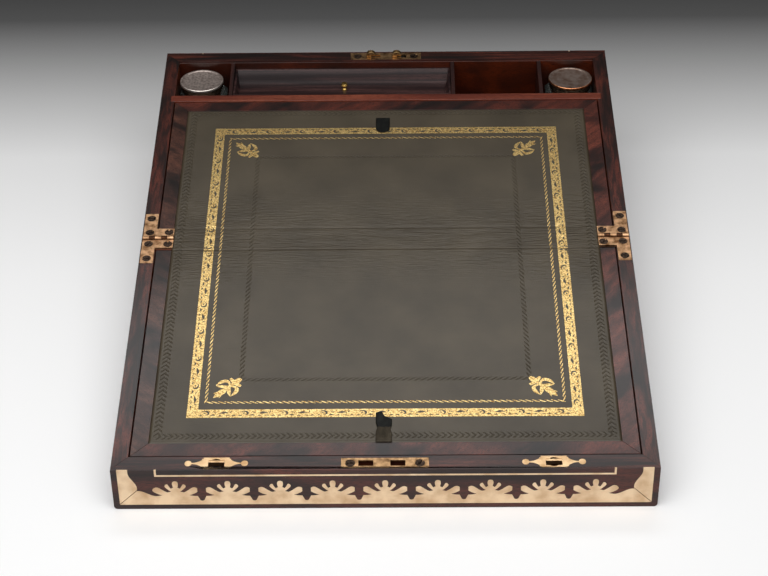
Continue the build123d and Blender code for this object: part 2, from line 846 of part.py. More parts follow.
def screw_solid(head_depth):
    """A countersunk wood screw with a straight slot. Its head's top is at the origin."""
    end = -head_depth - shank_length
    with BuildPart() as screw:
        with BuildSketch(Plane.XZ):
            with BuildLine():
                Polyline(
                    (0, 0),
                    (head_radius, 0),
                    (shank_radius, -head_depth),
                    (shank_radius, end + 2 * shank_radius),
                    (0, end),
                    close=True,
                )
            make_face()
        revolve(axis=Axis.Z)
        with BuildSketch():
            Rectangle(2 * head_radius, slot_width)
        extrude(amount=-slot_depth, mode=Mode.SUBTRACT)
    return screw.part


for half, sign in (("base", 1), ("lid", -1)):
    plate_places = [(x, sign * lock_s) for x in lock_screws]
    with BuildPart(rim) as screws:
        for places, depth in ((screw_places(sign), leaf), (plate_places, rim_veneer)):
            shape = screw_solid(depth)
            for k, (x, s) in enumerate(places):
                with Locations(Location((x, s, 0), (0, 0, screw_turn * k))):
                    add(shape)
    screws.part.label = f"{half}_screws"
    export_step(screws.part, f"parts/{half}_screws.step")

# Rests under the flaps: strips glued round the inside of each half

rest_top = -surface_drop - leather - flap_board - seat_gap

for name, sign, end in (
    ("base_flap_rests", 1, level(rail_near - seat_gap, rest_top)[0]),
    ("lid_flap_rests", -1, near_inner),
):
    middle = (hinge_wall + end) / 2
    with BuildPart() as rests:
        with BuildSketch(Plane.XY):
            with Locations((-inner_x + rest_width / 2, sign * middle)):
                Rectangle(rest_width, end - hinge_wall)
            with Locations((inner_x - rest_width / 2, sign * middle)):
                Rectangle(rest_width, end - hinge_wall)
            with Locations(
                (0, sign * (hinge_wall + rest_width / 2)), (0, sign * (end - rest_width / 2))
            ):
                Rectangle(2 * (inner_x - rest_width - seat_gap), rest_width)
        extrude(amount=back_height)
        split(bisect_by=rim.offset(rest_top), keep=Keep.BOTTOM)
        split(bisect_by=rim.offset(rest_top - rest_height), keep=Keep.TOP)
    rests.part.label = name
    export_step(rests.part, f"parts/{name}.step")

# Pen section: a raised floor behind a partition, the rail that caps the partition, three
# dividers and a lining on the far wall

with BuildPart() as pen_floor:
    with BuildSketch(Plane.XY.offset(pen_floor_top - pen_floor_board)):
        with Locations((0, (rail_far - partition + back_inner) / 2)):
            Rectangle(2 * inner_x, back_inner - rail_far + partition)
    extrude(amount=pen_floor_board)
pen_floor.part.label = "pen_floor"
export_step(pen_floor.part, "parts/pen_floor.step")

with BuildPart() as pen_partition:
    with BuildSketch(Plane.XY.offset(pen_floor_top)):
        with Locations((0, rail_far - partition / 2)):
            Rectangle(2 * inner_x, partition)
    extrude(amount=back_height)
    split(bisect_by=rim.offset(-rail_depth), keep=Keep.BOTTOM)
pen_partition.part.label = "pen_partition"
export_step(pen_partition.part, "parts/pen_partition.step")

with BuildPart() as pen_rail:
    with BuildSketch(Plane.YZ):
        with BuildLine():
            Polyline(*rail_profile, close=True)
        make_face()
    extrude(amount=inner_x + rail_housing, both=True)
pen_rail.part.label = "pen_rail"
export_step(pen_rail.part, "parts/pen_rail.step")

with BuildPart() as pen_back_lining:
    with BuildSketch(Plane.XY.offset(pen_floor_top)):
        with Locations((0, back_inner - lining / 2)):
            Rectangle(2 * inner_x, lining)
    extrude(amount=back_height)
    split(bisect_by=rim.offset(-divider_drop), keep=Keep.BOTTOM)
pen_back_lining.part.label = "pen_back_lining"
export_step(pen_back_lining.part, "parts/pen_back_lining.step")

# Left faces of the dividers: beside the left inkwell, beside the tray, beside the right inkwell
tray_left = -inner_x + well_space + divider
tray_right = tray_left + tray_space
divider_places = (tray_left - divider, tray_right, inner_x - well_space - divider)
section_middle = (rail_far + lining_face) / 2

with BuildPart() as pen_dividers:
    with BuildSketch(Plane.XY.offset(pen_floor_top)):
        with Locations(*[(x + divider / 2, section_middle) for x in divider_places]):
            Rectangle(divider, pen_section)
    extrude(amount=back_height)
    split(bisect_by=rim.offset(-divider_drop), keep=Keep.BOTTOM)
pen_dividers.part.label = "pen_dividers"
export_step(pen_dividers.part, "parts/pen_dividers.step")

tray_bottom = tray_top - tray_height

with BuildPart() as tray_rests:
    with BuildSketch(Plane.XY.offset(pen_floor_top)):
        with Locations(
            (tray_left + tray_rest / 2, section_middle), (tray_right - tray_rest / 2, section_middle)
        ):
            Rectangle(tray_rest, pen_section)
    extrude(amount=tray_bottom - seat_gap - pen_floor_top)
tray_rests.part.label = "tray_rests"
export_step(tray_rests.part, "parts/tray_rests.step")

# Pen tray: a block with a trough scooped along it, whose ends rise in a quarter round

tray_length = tray_space - 2 * tray_gap
tray_depth = pen_section - 2 * tray_gap
tray_middle = (tray_left + tray_right) / 2
scoop_half = tray_depth / 2 - tray_lip
scoop_x = tray_length / 2 - tray_lip
scoop_bottom = tray_top - scoop_depth

with BuildPart() as trough:
    with BuildSketch(Plane.YZ.offset(tray_middle)):
        with BuildLine():
            ThreePointArc(
                (section_middle - scoop_half, tray_top),
                (section_middle, scoop_bottom),
                (section_middle + scoop_half, tray_top),
            )
            Line(
                (section_middle + scoop_half, tray_top),
                (section_middle - scoop_half, tray_top),
            )
        make_face()
    extrude(amount=scoop_x, both=True)
    with BuildSketch(Plane.XZ.offset(-section_middle)):
        with BuildLine():
            Polyline(
                (tray_middle - scoop_x + scoop_end, scoop_bottom),
                (tray_middle + scoop_x - scoop_end, scoop_bottom),
            )
            EllipticalCenterArc(
                (tray_middle + scoop_x - scoop_end, tray_top),
                scoop_end,
                scoop_depth,
                start_angle=-90,
                arc_size=90,
            )
            Line((tray_middle + scoop_x, tray_top), (tray_middle - scoop_x, tray_top))
            EllipticalCenterArc(
                (tray_middle - scoop_x + scoop_end, tray_top),
                scoop_end,
                scoop_depth,
                start_angle=180,
                arc_size=90,
            )
        make_face()
    extrude(amount=tray_depth, both=True, mode=Mode.INTERSECT)

with BuildPart() as pen_tray:
    with BuildSketch(Plane.XY.offset(tray_bottom)):
        with Locations((tray_middle, section_middle)):
            Rectangle(tray_length, tray_depth)
    extrude(amount=tray_height)
    add(trough.part, mode=Mode.SUBTRACT)
    with BuildSketch(Plane.XY.offset(tray_top)):
        with Locations((tray_middle + knob_offset, section_middle)):
            Circle(knob_peg + pin_fit)
    extrude(amount=-scoop_depth - knob_peg_length, mode=Mode.SUBTRACT)
pen_tray.part.label = "pen_tray"
export_step(pen_tray.part, "parts/pen_tray.step")

# Knob of the tray, a turned button on a neck, with a peg let into the tray
knob_plane = Plane(
    origin=(tray_middle + knob_offset, section_middle, scoop_bottom), x_dir=(1, 0, 0), z_dir=(0, -1, 0)
)

with BuildPart() as tray_knob:
    with BuildSketch(knob_plane):
        with BuildLine():
            Polyline(
                (0, -knob_peg_length),
                (knob_peg, -knob_peg_length),
                (knob_peg, 0.1),
                (knob_radius * 0.75, 0.1),
                (knob_radius * 0.75, 1),
            )
            Spline(
                (knob_radius * 0.75, 1),
                (knob_radius * 0.5, knob_height * 0.35),
                (knob_radius, knob_height * 0.68),
                (knob_radius * 0.8, knob_height * 0.9),
                (0, knob_height),
                tangents=((-0.4, 1), (-1, 0)),
            )
            Line((0, knob_height), (0, -knob_peg_length))
        make_face()
    revolve(axis=Axis((tray_middle + knob_offset, section_middle, 0), (0, 0, 1)))
tray_knob.part.label = "tray_knob"
export_step(tray_knob.part, "parts/tray_knob.step")

# Inkwells: a square glass bottle with a brass collar on its neck. A threaded cap turns down
# on the collar and presses a leather seal on the bottle's mouth.

well_x = inner_x - bottle_play - bottle / 2
well_y = lining_face - bottle_back_play - bottle / 2
bottle_foot = pen_floor_top + seat_gap
neck_foot = bottle_foot + bottle_height
mouth_top = neck_foot + neck_height
seal_bottom = mouth_top + seal_gap
disc_bottom = seal_bottom + seal_height + seal_top_gap
cap_top = disc_bottom + cap_disc
collar_radius = neck_radius + collar_seat + collar
collar_top = mouth_top - collar_drop
skirt_inner = collar_radius + thread_gap
skirt_outer = skirt_inner + cap_skirt
dish_edge = (cap_radius - cap_rim - cap_rim_rise, cap_top - cap_rim_rise)
dish_middle = (0, cap_top - cap_rim_rise - cap_dish)
ring_heights = [disc_bottom - cap_ring_step * (k + 1) for k in range(cap_rings)]

for side, hand in SIDES:
    upright = Plane(origin=(hand * well_x, well_y, 0), x_dir=(1, 0, 0), z_dir=(0, -1, 0))
    turning = Axis((hand * well_x, well_y, 0), (0, 0, 1))

    with BuildPart() as glass:
        with BuildSketch(Plane.XY.offset(bottle_foot)) as footprint:
            with Locations((hand * well_x, well_y)):
                Rectangle(bottle, bottle)
            chamfer(footprint.vertices(), bottle_chamfer)
        extrude(amount=bottle_height)
        chamfer(glass.faces().sort_by(Axis.Z)[-1].edges(), bottle_shoulder)
        with BuildSketch(Plane.XY.offset(neck_foot)):
            with Locations((hand * well_x, well_y)):
                Circle(neck_radius)
        extrude(amount=neck_height)
        with BuildSketch(Plane.XY.offset(bottle_foot + bottle_wall)) as hollow:
            with Locations((hand * well_x, well_y)):
                Rectangle(bottle - 2 * bottle_wall, bottle - 2 * bottle_wall)
            chamfer(hollow.vertices(), bottle_chamfer / 2)
        extrude(amount=bottle_height - 2 * bottle_wall, mode=Mode.SUBTRACT)
        with BuildSketch(Plane.XY.offset(mouth_top)):
            with Locations((hand * well_x, well_y)):
                Circle(mouth_radius)
        extrude(amount=-neck_height - 2 * bottle_wall, mode=Mode.SUBTRACT)
    glass.part.label = f"inkwell_{side}_glass"
    export_step(glass.part, f"parts/inkwell_{side}_glass.step")

    with BuildPart() as neck_collar:
        with BuildSketch(upright):
            with Locations((collar_radius - collar / 2, collar_top - collar_height / 2)):
                Rectangle(collar, collar_height)
            with Locations(*[(collar_radius, collar_top - z) for z in collar_grooves]):
                Rectangle(collar, collar_groove, rotation=45, mode=Mode.SUBTRACT)
        revolve(axis=turning)
    neck_collar.part.label = f"inkwell_{side}_collar"
    export_step(neck_collar.part, f"parts/inkwell_{side}_collar.step")

    with BuildPart() as cap:
        with BuildSketch(upright):
            with BuildLine():
                Polyline(
                    dish_middle,
                    (0, disc_bottom),
                    (skirt_inner, disc_bottom),
                    (skirt_inner, disc_bottom - cap_skirt_height),
                    (skirt_outer, disc_bottom - cap_skirt_height),
                    (skirt_outer, disc_bottom),
                    (cap_radius - cap_edge, disc_bottom),
                    (cap_radius, disc_bottom + cap_edge),
                    (cap_radius, cap_top - cap_edge),
                    (cap_radius - cap_edge, cap_top),
                    (cap_radius - cap_rim, cap_top),
                    dish_edge,
                )
                TangentArc(dish_middle, dish_edge, tangent=(1, 0))
            make_face()
            with Locations(*[(skirt_outer, z) for z in ring_heights]):
                Rectangle(2 * cap_ring, 2 * cap_ring, rotation=45)
        revolve(axis=turning)
    cap.part.label = f"cap_{side}"
    export_step(cap.part, f"parts/cap_{side}.step")

    with BuildPart() as seal:
        with BuildSketch(Plane.XY.offset(seal_bottom)):
            with Locations((hand * well_x, well_y)):
                Circle(skirt_inner - seal_play)
        extrude(amount=seal_height)
    seal.part.label = f"cap_seal_{side}"
    export_step(seal.part, f"parts/cap_seal_{side}.step")

# Flaps of the writing surface. Each is a board, a mitred crossbanded frame on three of its
# sides and a leather panel within it. The fourth side meets the leather over the hinge walls.

flap_half = inner_x - flap_side_gap
panel_half = flap_half - banding

for name, sign, start, end in (
    ("upper_flap", 1, upper_flap_start, rail_near - upper_end_gap),
    ("lower_flap", -1, lower_flap_start, along(near_inner) - lower_end_gap),
):
    edge = end - banding
    with BuildPart() as panel_board:
        with BuildSketch(flap_top):
            with Locations((0, sign * (start + end) / 2)):
                Rectangle(2 * flap_half, end - start)
        extrude(amount=-flap_board)
    panel_board.part.label = f"{name}_board"
    export_step(panel_board.part, f"parts/{name}_board.step")

    with BuildPart() as frame_strips:
        with BuildSketch(flap_top):
            for _, hand in SIDES:
                with BuildLine():
                    Polyline(
                        (hand * flap_half, sign * start),
                        (hand * panel_half, sign * start),
                        (hand * panel_half, sign * edge),
                        (hand * flap_half, sign * end),
                        close=True,
                    )
                make_face()
            with BuildLine():
                Polyline(
                    (-flap_half + mitre_line, sign * end),
                    (flap_half - mitre_line, sign * end),
                    (panel_half - mitre_line, sign * edge),
                    (-panel_half + mitre_line, sign * edge),
                    close=True,
                )
            make_face()
        extrude(amount=leather)
    frame_strips.part.label = f"{name}_banding"
    export_step(frame_strips.part, f"parts/{name}_banding.step")

    with BuildPart() as panel_leather:
        with BuildSketch(flap_top):
            with Locations((0, sign * (start + edge) / 2)):
                Rectangle(2 * panel_half, edge - start)
        extrude(amount=leather)
    panel_leather.part.label = f"{name}_leather"
    export_step(panel_leather.part, f"parts/{name}_leather.step")

for half, sign, end in (("base", 1, upper_flap_start), ("lid", -1, lower_flap_start)):
    reach = end - fold_end_gap - fold_split
    with BuildPart() as fold_strip:
        with BuildSketch(surface):
            with Locations((0, sign * (fold_split + reach / 2))):
                Rectangle(2 * (bar_end - fold_gap), reach)
        extrude(amount=-fold_leather)
    fold_strip.part.label = f"{half}_leather_fold"
    export_step(fold_strip.part, f"parts/{half}_leather_fold.step")

# Leather pull tabs. The upper one lies flat, and the lower one has curled up off the surface.

upper_edge = rail_near - upper_end_gap - banding
lower_edge = along(near_inner) - lower_end_gap - banding
lower_tab_s = lower_edge - lower_tab_length

with BuildPart() as upper_flap_tab:
    with BuildSketch(surface.offset(seat_gap)) as tongue:
        with Locations((upper_tab_x, upper_edge - upper_tab_length / 2)):
            Rectangle(tab_width, upper_tab_length)
        fillet(tongue.vertices().sort_by(Axis.Y)[:2], tab_rounding)
    extrude(amount=tab)
upper_flap_tab.part.label = "upper_flap_tab"
export_step(upper_flap_tab.part, "parts/upper_flap_tab.step")

# Seen from the right, with s to the right and n upwards
tab_side = Plane(
    origin=(lower_tab_x, 0, hinge_height), x_dir=(0, cos(tilt), sin(tilt)), z_dir=(1, 0, 0)
)
tab_foot = -surface_drop + seat_gap
bent_outer = level(-lower_tab_s, tab_foot)
bent_inner = level(-lower_tab_s - tab, tab_foot + tab)

with BuildPart() as lower_flap_tab:
    with BuildSketch(tab_side) as bent:
        with BuildLine():
            Polyline(
                (-lower_edge, tab_foot),
                (-lower_tab_s, tab_foot),
                (-lower_tab_s, tab_foot + lower_tab_height),
                (-lower_tab_s - tab, tab_foot + lower_tab_height),
                (-lower_tab_s - tab, tab_foot + tab),
                (-lower_edge, tab_foot + tab),
                close=True,
            )
        make_face()
        fillet(bent.vertices().sort_by_distance((lower_tab_x, *bent_outer))[0], tab_bend + tab)
        fillet(bent.vertices().sort_by_distance((lower_tab_x, *bent_inner))[0], tab_bend)
    extrude(amount=tab_width / 2, both=True)
lower_flap_tab.part.label = "lower_flap_tab"
export_step(lower_flap_tab.part, "parts/lower_flap_tab.step")
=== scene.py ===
import json
import math

import bmesh
import bpy
import numpy as np
from mathutils import Matrix, Vector
from mathutils.geometry import tessellate_polygon

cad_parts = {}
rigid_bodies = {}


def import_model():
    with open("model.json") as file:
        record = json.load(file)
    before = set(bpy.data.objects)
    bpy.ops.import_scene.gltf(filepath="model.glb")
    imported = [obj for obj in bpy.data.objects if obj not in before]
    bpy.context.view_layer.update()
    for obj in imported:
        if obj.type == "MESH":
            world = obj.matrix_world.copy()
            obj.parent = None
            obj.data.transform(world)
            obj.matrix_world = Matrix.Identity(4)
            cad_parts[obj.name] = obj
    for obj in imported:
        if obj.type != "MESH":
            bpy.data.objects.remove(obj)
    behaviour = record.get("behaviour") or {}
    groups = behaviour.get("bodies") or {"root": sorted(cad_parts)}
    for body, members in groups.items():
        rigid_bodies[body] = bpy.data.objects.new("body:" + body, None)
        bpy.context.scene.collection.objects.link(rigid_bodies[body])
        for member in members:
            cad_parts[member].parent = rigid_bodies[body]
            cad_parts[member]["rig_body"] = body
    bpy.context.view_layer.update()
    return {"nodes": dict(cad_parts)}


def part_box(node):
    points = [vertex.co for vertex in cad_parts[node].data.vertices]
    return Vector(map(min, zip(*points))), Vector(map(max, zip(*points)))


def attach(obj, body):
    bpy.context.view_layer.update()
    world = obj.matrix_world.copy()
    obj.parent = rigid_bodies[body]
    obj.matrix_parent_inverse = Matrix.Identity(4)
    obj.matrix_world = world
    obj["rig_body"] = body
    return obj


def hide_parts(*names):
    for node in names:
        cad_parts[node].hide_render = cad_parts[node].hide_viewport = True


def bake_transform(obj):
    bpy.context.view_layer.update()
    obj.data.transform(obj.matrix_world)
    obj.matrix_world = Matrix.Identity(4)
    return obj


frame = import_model()
mm = 0.001

# The studio. The writing slope lies open on a plain white table under three soft boxes. A
# strip behind it lays a sheen on its near half, one high over the writer lights it all, and the
# last lights its front. The room behind is dark, so the far half shows its colours unveiled.


def paint(text):
    """The linear colour of a paint that is written as six hex digits."""
    parts = [int(text[k : k + 2], 16) / 255 for k in (0, 2, 4)]
    return (*[p / 12.92 if p < 0.04045 else ((p + 0.055) / 1.055) ** 2.4 for p in parts], 1.0)


def shade(tree, kind, inputs=(), **settings):
    """Adds a shader node. Each input is a value, or the output of another node."""
    node = tree.nodes.new("ShaderNode" + kind)
    for key, value in settings.items():
        setattr(node, key, value)
    for key, value in dict(inputs).items():
        if isinstance(value, bpy.types.NodeSocket):
            tree.links.new(value, node.inputs[key])
        else:
            node.inputs[key].default_value = value
    return node


def calc(tree, operation, *values):
    """The result of one math node on values or outputs."""
    return shade(tree, "Math", enumerate(values), operation=operation).outputs[0]


def ramp(tree, factor, *stops):
    """A run of colours over the factor, each stop given as its place and its colour."""
    node = shade(tree, "ValToRGB", {"Fac": factor})
    for place, colour in stops[2:]:
        node.color_ramp.elements.new(place)
    for element, (place, colour) in zip(node.color_ramp.elements, stops):
        element.position = place
        element.color = colour
    return node.outputs["Color"]


def blank(name):
    """A new material with nothing in it but its output, as its tree and its output node."""
    material = bpy.data.materials.new(name)
    material.use_nodes = True
    material.node_tree.nodes.clear()
    return material, shade(material.node_tree, "OutputMaterial")


camera_lens = 90.64
camera_place = Vector((11.905, -1312.436, 962.642)) * mm
camera_pitch = 0.6230  # looking down
camera_yaw = 0.0104
camera_roll = -0.0122

camera_data = bpy.data.cameras.new("studio_camera")
camera_data.lens = camera_lens
camera_data.sensor_width = 36.0
camera = bpy.data.objects.new("studio_camera", camera_data)
camera.matrix_world = (
    Matrix.Translation(camera_place)
    @ Matrix.Rotation(camera_yaw, 4, "Z")
    @ Matrix.Rotation(math.pi / 2 - camera_pitch, 4, "X")
    @ Matrix.Rotation(camera_roll, 4, "Z")
)
bpy.context.scene.collection.objects.link(camera)
bpy.context.scene.camera = camera
bpy.context.scene.view_settings.view_transform = "Standard"


def soft_box(name, place, aim, size, power, spread=180.0):
    """A rectangular studio lamp at place, turned to aim. A grid narrows its beam to spread."""
    data = bpy.data.lights.new(name, "AREA")
    data.shape = "RECTANGLE"
    data.size, data.size_y = size
    data.energy = power
    data.spread = math.radians(spread)
    lamp = bpy.data.objects.new(name, data)
    lamp.location = place
    lamp.rotation_mode = "QUATERNION"
    lamp.rotation_quaternion = (Vector(aim) - Vector(place)).to_track_quat("-Z", "Y")
    bpy.context.scene.collection.objects.link(lamp)


soft_box("strip_box", (-0.05, 0.50, 0.96), (-0.05, -0.20, 0.05), (1.5, 0.24), 0.46, spread=60.0)
soft_box("high_box", (-0.1, -0.85, 1.50), (0.0, 0.0, 0.05), (2.6, 1.6), 24.0)
soft_box("front_box", (-0.7, -1.7, 0.9), (0.0, -0.4, 0.0), (1.2, 0.9), 3.0)

world = bpy.data.worlds.new("studio")
world.use_nodes = True
bpy.context.scene.world = world
sky = world.node_tree
sky_direction = shade(sky, "TexCoord").outputs["Generated"]
sky_split = shade(sky, "SeparateXYZ", {0: sky_direction})
sky_behind = shade(
    sky, "MapRange", {"Value": sky_split.outputs["Y"], "From Min": -0.15, "From Max": 0.15}
).outputs[0]
sky_colour = shade(
    sky,
    "Mix",
    {
        0: sky_behind,
        6: paint("b0b0b0"),
        7: ramp(
            sky,
            sky_split.outputs["Z"],
            (0.0, paint("262422")),
            (0.70, paint("302e2c")),
            (0.95, paint("a0a0a0")),
        ),
    },
    data_type="RGBA",
).outputs[2]
sky.links.new(sky_colour, sky.nodes["Background"].inputs["Color"])

table_half = 4.0
table_mesh = bpy.data.meshes.new("table")
table_mesh.from_pydata(
    [(x * table_half, y * table_half, -0.05 * mm) for x, y in ((-1, -1), (1, -1), (1, 1), (-1, 1))],
    [],
    [(0, 1, 2, 3)],
)
table = bpy.data.objects.new("table", table_mesh)
bpy.context.scene.collection.objects.link(table)

table_paint, table_output = blank("white_table")
table_tree = table_paint.node_tree
table_place = shade(table_tree, "TexCoord").outputs["Object"]
table_y = shade(table_tree, "SeparateXYZ", {0: table_place}).outputs["Y"]
table_far = shade(
    table_tree, "MapRange", {"Value": table_y, "From Min": 0.05, "From Max": 0.60}
).outputs[0]
# Painted shade: the table's seen colour fades from white near the slope to dark grey at the back,
# where the lamps' light falls off on a white table.
seen_colour = ramp(
    table_tree,
    table_far,
    (0.0, paint("ffffff")),
    (0.35, paint("f8f8f8")),
    (0.55, paint("d0d0d0")),
    (0.85, paint("626262")),
    (1.0, paint("4c4c4c")),
)
table_ray = shade(table_tree, "LightPath").outputs
lit_colour = shade(
    table_tree,
    "Mix",
    {
        0: calc(table_tree, "MAXIMUM", table_ray["Is Camera Ray"], table_ray["Is Glossy Ray"]),
        6: paint("d8d8d8"),
        7: seen_colour,
    },
    data_type="RGBA",
).outputs[2]
table_tree.links.new(
    shade(table_tree, "BsdfDiffuse", {"Color": lit_colour}).outputs[0], table_output.inputs[0]
)
table_mesh.materials.append(table_paint)

# The carcase. Its walls are rosewood veneer on a mahogany ground, glued up with mitres at the
# far and near corners, and French polished. The edges are eased with fine paper.

ROSEWOOD = (paint("150a08"), paint("3a1b15"), paint("632e22"))
MAHOGANY = (paint("2e120a"), paint("5a2814"), paint("874a2a"))


def wood(
    name, colours, grain=0.0, figure=(120, 7), gloss=0.42, polish=0.52, streaks=0.8, shift=0.0
):
    """Polished wood. The figure is noise drawn out along the grain, whose angle from X is in
    degrees, with narrower dark streaks over it and open pores as fine dark lines and bump.
    The polish is a clear coat of its own, smoother than the wood under it."""
    material, output = blank(name)
    tree = material.node_tree
    place = shade(tree, "TexCoord").outputs["Object"]
    turn = (0.0, 0.0, math.radians(grain))

    def drawn_out(length, width, detail, distortion):
        spread = shade(
            tree,
            "Mapping",
            {
                "Vector": place,
                "Location": (shift, shift, shift),
                "Rotation": turn,
                "Scale": (length * mm, width * mm, width * mm),
            },
            vector_type="TEXTURE",
        ).outputs[0]
        return shade(
            tree,
            "TexNoise",
            {"Vector": spread, "Scale": 1.0, "Detail": detail, "Distortion": distortion},
        ).outputs["Fac"]

    dark, ground, light = colours
    length, width = figure
    broad = drawn_out(length, width * 2.4, 3.0, 0.8)
    body = ramp(tree, broad, (0.34, dark), (0.47, ground), (0.66, light))
    streak = drawn_out(length * 0.9, width * 0.5, 5.0, 0.5)
    streaked = shade(
        tree,
        "Mix",
        {
            0: shade(
                tree,
                "MapRange",
                {"Value": streak, "From Min": 0.40, "From Max": 0.56, "To Min": 1.0 - streaks},
            ).outputs[0],
            6: dark,
            7: body,
        },
        data_type="RGBA",
    ).outputs[2]
    pore = drawn_out(5.0, 0.22, 2.0, 0.0)
    pored = shade(
        tree,
        "Mix",
        {
            0: shade(
                tree, "MapRange", {"Value": pore, "From Min": 0.36, "From Max": 0.50}
            ).outputs[0],
            6: dark,
            7: streaked,
        },
        data_type="RGBA",
    ).outputs[2]
    bump = shade(tree, "Bump", {"Strength": 0.25, "Distance": 0.05 * mm, "Height": pore})
    rough = shade(
        tree,
        "MapRange",
        {
            "Value": broad,
            "From Min": 0.3,
            "From Max": 0.7,
            "To Min": gloss + 0.07,
            "To Max": gloss - 0.05,
        },
    ).outputs[0]
    surface = shade(
        tree,
        "BsdfPrincipled",
        {
            "Base Color": pored,
            "Roughness": rough,
            "Specular IOR Level": 0.2,
            "Normal": bump.outputs[0],
            "Coat Weight": polish,
            "Coat Roughness": 0.2,
        },
    )
    tree.links.new(surface.outputs[0], output.inputs[0])
    return material


flat_turn = math.radians(0.4)
sharp_turn = math.radians(30)
same_place = 0.001 * mm
bevel_steps = 2


def eased(name, edge, finish):
    """A copy of a piece that rides as it does and replaces it. Its flat faces are merged, and
    each edge that turns by more than sharp_turn gets a bevel as wide as `edge`."""
    source = frame["nodes"][name]
    shape = bmesh.new()
    shape.from_mesh(source.data)
    bmesh.ops.remove_doubles(shape, verts=shape.verts, dist=same_place)
    bmesh.ops.dissolve_limit(shape, angle_limit=flat_turn, verts=shape.verts, edges=shape.edges)
    for line in shape.edges:
        line.smooth = line.is_manifold and line.calc_face_angle() < sharp_turn
    for face in shape.faces:
        face.smooth = True
    mesh = bpy.data.meshes.new(name + "_eased")
    shape.to_mesh(mesh)
    shape.free()
    mesh.materials.clear()
    mesh.materials.append(finish)
    piece = bpy.data.objects.new(name + "_eased", mesh)
    bpy.context.scene.collection.objects.link(piece)
    if edge:
        bevel = piece.modifiers.new("eased_edges", "BEVEL")
        bevel.width = edge
        bevel.segments = bevel_steps
        bevel.limit_method = "ANGLE"
        bevel.angle_limit = sharp_turn
        bevel.harden_normals = True
    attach(piece, source["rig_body"])
    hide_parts(name)
    return piece


wall_edge = 0.35 * mm
long_rosewood = wood("rosewood_along_walls", ROSEWOOD, grain=90.0, figure=(90, 5))
cross_rosewood = wood("rosewood_across_walls", ROSEWOOD, figure=(110, 5), shift=0.3)
inner_mahogany = wood("mahogany_ground", MAHOGANY, figure=(160, 9), streaks=0.3)
inward_share = 0.9
for wall in ("base_left_wall", "base_right_wall", "lid_left_wall", "lid_right_wall"):
    board = eased(wall, wall_edge, long_rosewood)
    board.data.materials.append(inner_mahogany)
    for face in board.data.polygons:
        if face.normal.x * face.center.x < -inward_share * abs(face.center.x):
            face.material_index = 1
for wall in ("base_hinge_wall", "lid_hinge_wall", "base_far_rim", "lid_near_rim"):
    eased(wall, wall_edge, cross_rosewood)
for wall in ("base_back_wall", "lid_near_wall", "base_bottom", "lid_panel"):
    eased(wall, wall_edge, inner_mahogany)

# The far and near faces. Sheets of brass are cut with a fret saw and let flush into rosewood
# veneer: a border of leafy sprays, and a fine line that frames the lock.

face_rosewood = wood(
    "rosewood_face_veneer", ROSEWOOD, figure=(150, 12), polish=0.4, streaks=0.4, shift=0.7
)


def metal(name, dark, light, rough=0.3, blotch=6.0, scratch=(9.0, 0.2), scratch_turn=0.0):
    """Metal, worn, or in tones that carry painted shade or painted highlight. Its colour drifts
    between two tones over patches of `blotch` millimetres, and fine scratches, noise drawn out to
    the size `scratch`, break its gloss."""
    material, output = blank(name)
    tree = material.node_tree
    place = shade(tree, "TexCoord").outputs["Object"]
    patches = shade(
        tree, "TexNoise", {"Vector": place, "Scale": 1 / (blotch * mm), "Detail": 4.0}
    ).outputs["Fac"]
    colour = ramp(tree, patches, (0.32, dark), (0.62, light))
    spread = shade(
        tree,
        "Mapping",
        {
            "Vector": place,
            "Rotation": (0.0, 0.0, math.radians(scratch_turn)),
            "Scale": (scratch[0] * mm, scratch[1] * mm, scratch[1] * mm),
        },
        vector_type="TEXTURE",
    ).outputs[0]
    lines = shade(tree, "TexNoise", {"Vector": spread, "Scale": 1.0, "Detail": 3.0}).outputs["Fac"]
    rough_now = shade(
        tree,
        "MapRange",
        {
            "Value": lines,
            "From Min": 0.3,
            "From Max": 0.7,
            "To Min": rough - 0.08,
            "To Max": rough + 0.12,
        },
    ).outputs[0]
    bump = shade(tree, "Bump", {"Strength": 0.2, "Distance": 0.02 * mm, "Height": lines})
    surface = shade(
        tree,
        "BsdfPrincipled",
        {"Base Color": colour, "Metallic": 1.0, "Roughness": rough_now, "Normal": bump.outputs[0]},
    )
    tree.links.new(surface.outputs[0], output.inputs[0])
    return material


inlay_brass = metal("inlay_brass", paint("c9a884"), paint("ecd2b0"), rough=0.42, blotch=14.0)
for half in ("base", "lid"):
    eased(f"{half}_face_veneer", 0, face_rosewood)
    eased(f"{half}_brass_border", 0, inlay_brass)
    eased(f"{half}_brass_string", 0, inlay_brass)
eased("escutcheon", 0.1 * mm, inlay_brass)

# Brass plates of the rims, let in flush: the lock plate, its receiver and the two sockets of
# the book ledge. Years of handling have browned them.

plate_brass = metal("plate_brass", paint("6f5338"), paint("c09a70"), rough=0.34, blotch=5.0)
pale_brass = metal("pale_plate_brass", paint("c69f72"), paint("efcda0"), rough=0.36, blotch=9.0)
for plate, finish in (
    ("lock_plate", plate_brass),
    ("receiver_plate", plate_brass),
    ("ledge_plates", pale_brass),
    ("ledge_bars", pale_brass),
):
    eased(plate, 0.12 * mm, finish)

# The lock: a box lock let into the far wall under its plate. A brass bolt with two hooks slides
# in an iron case.

lock_iron = metal("lock_iron", paint("4a4540"), paint("7a7268"), rough=0.5, blotch=4.0)
bolt_brass = metal("bolt_brass", paint("8a6a42"), paint("c9a673"), rough=0.36, blotch=3.0)
eased("lock_bolt", 0.25 * mm, bolt_brass)
eased("lock_case", 0.15 * mm, lock_iron)
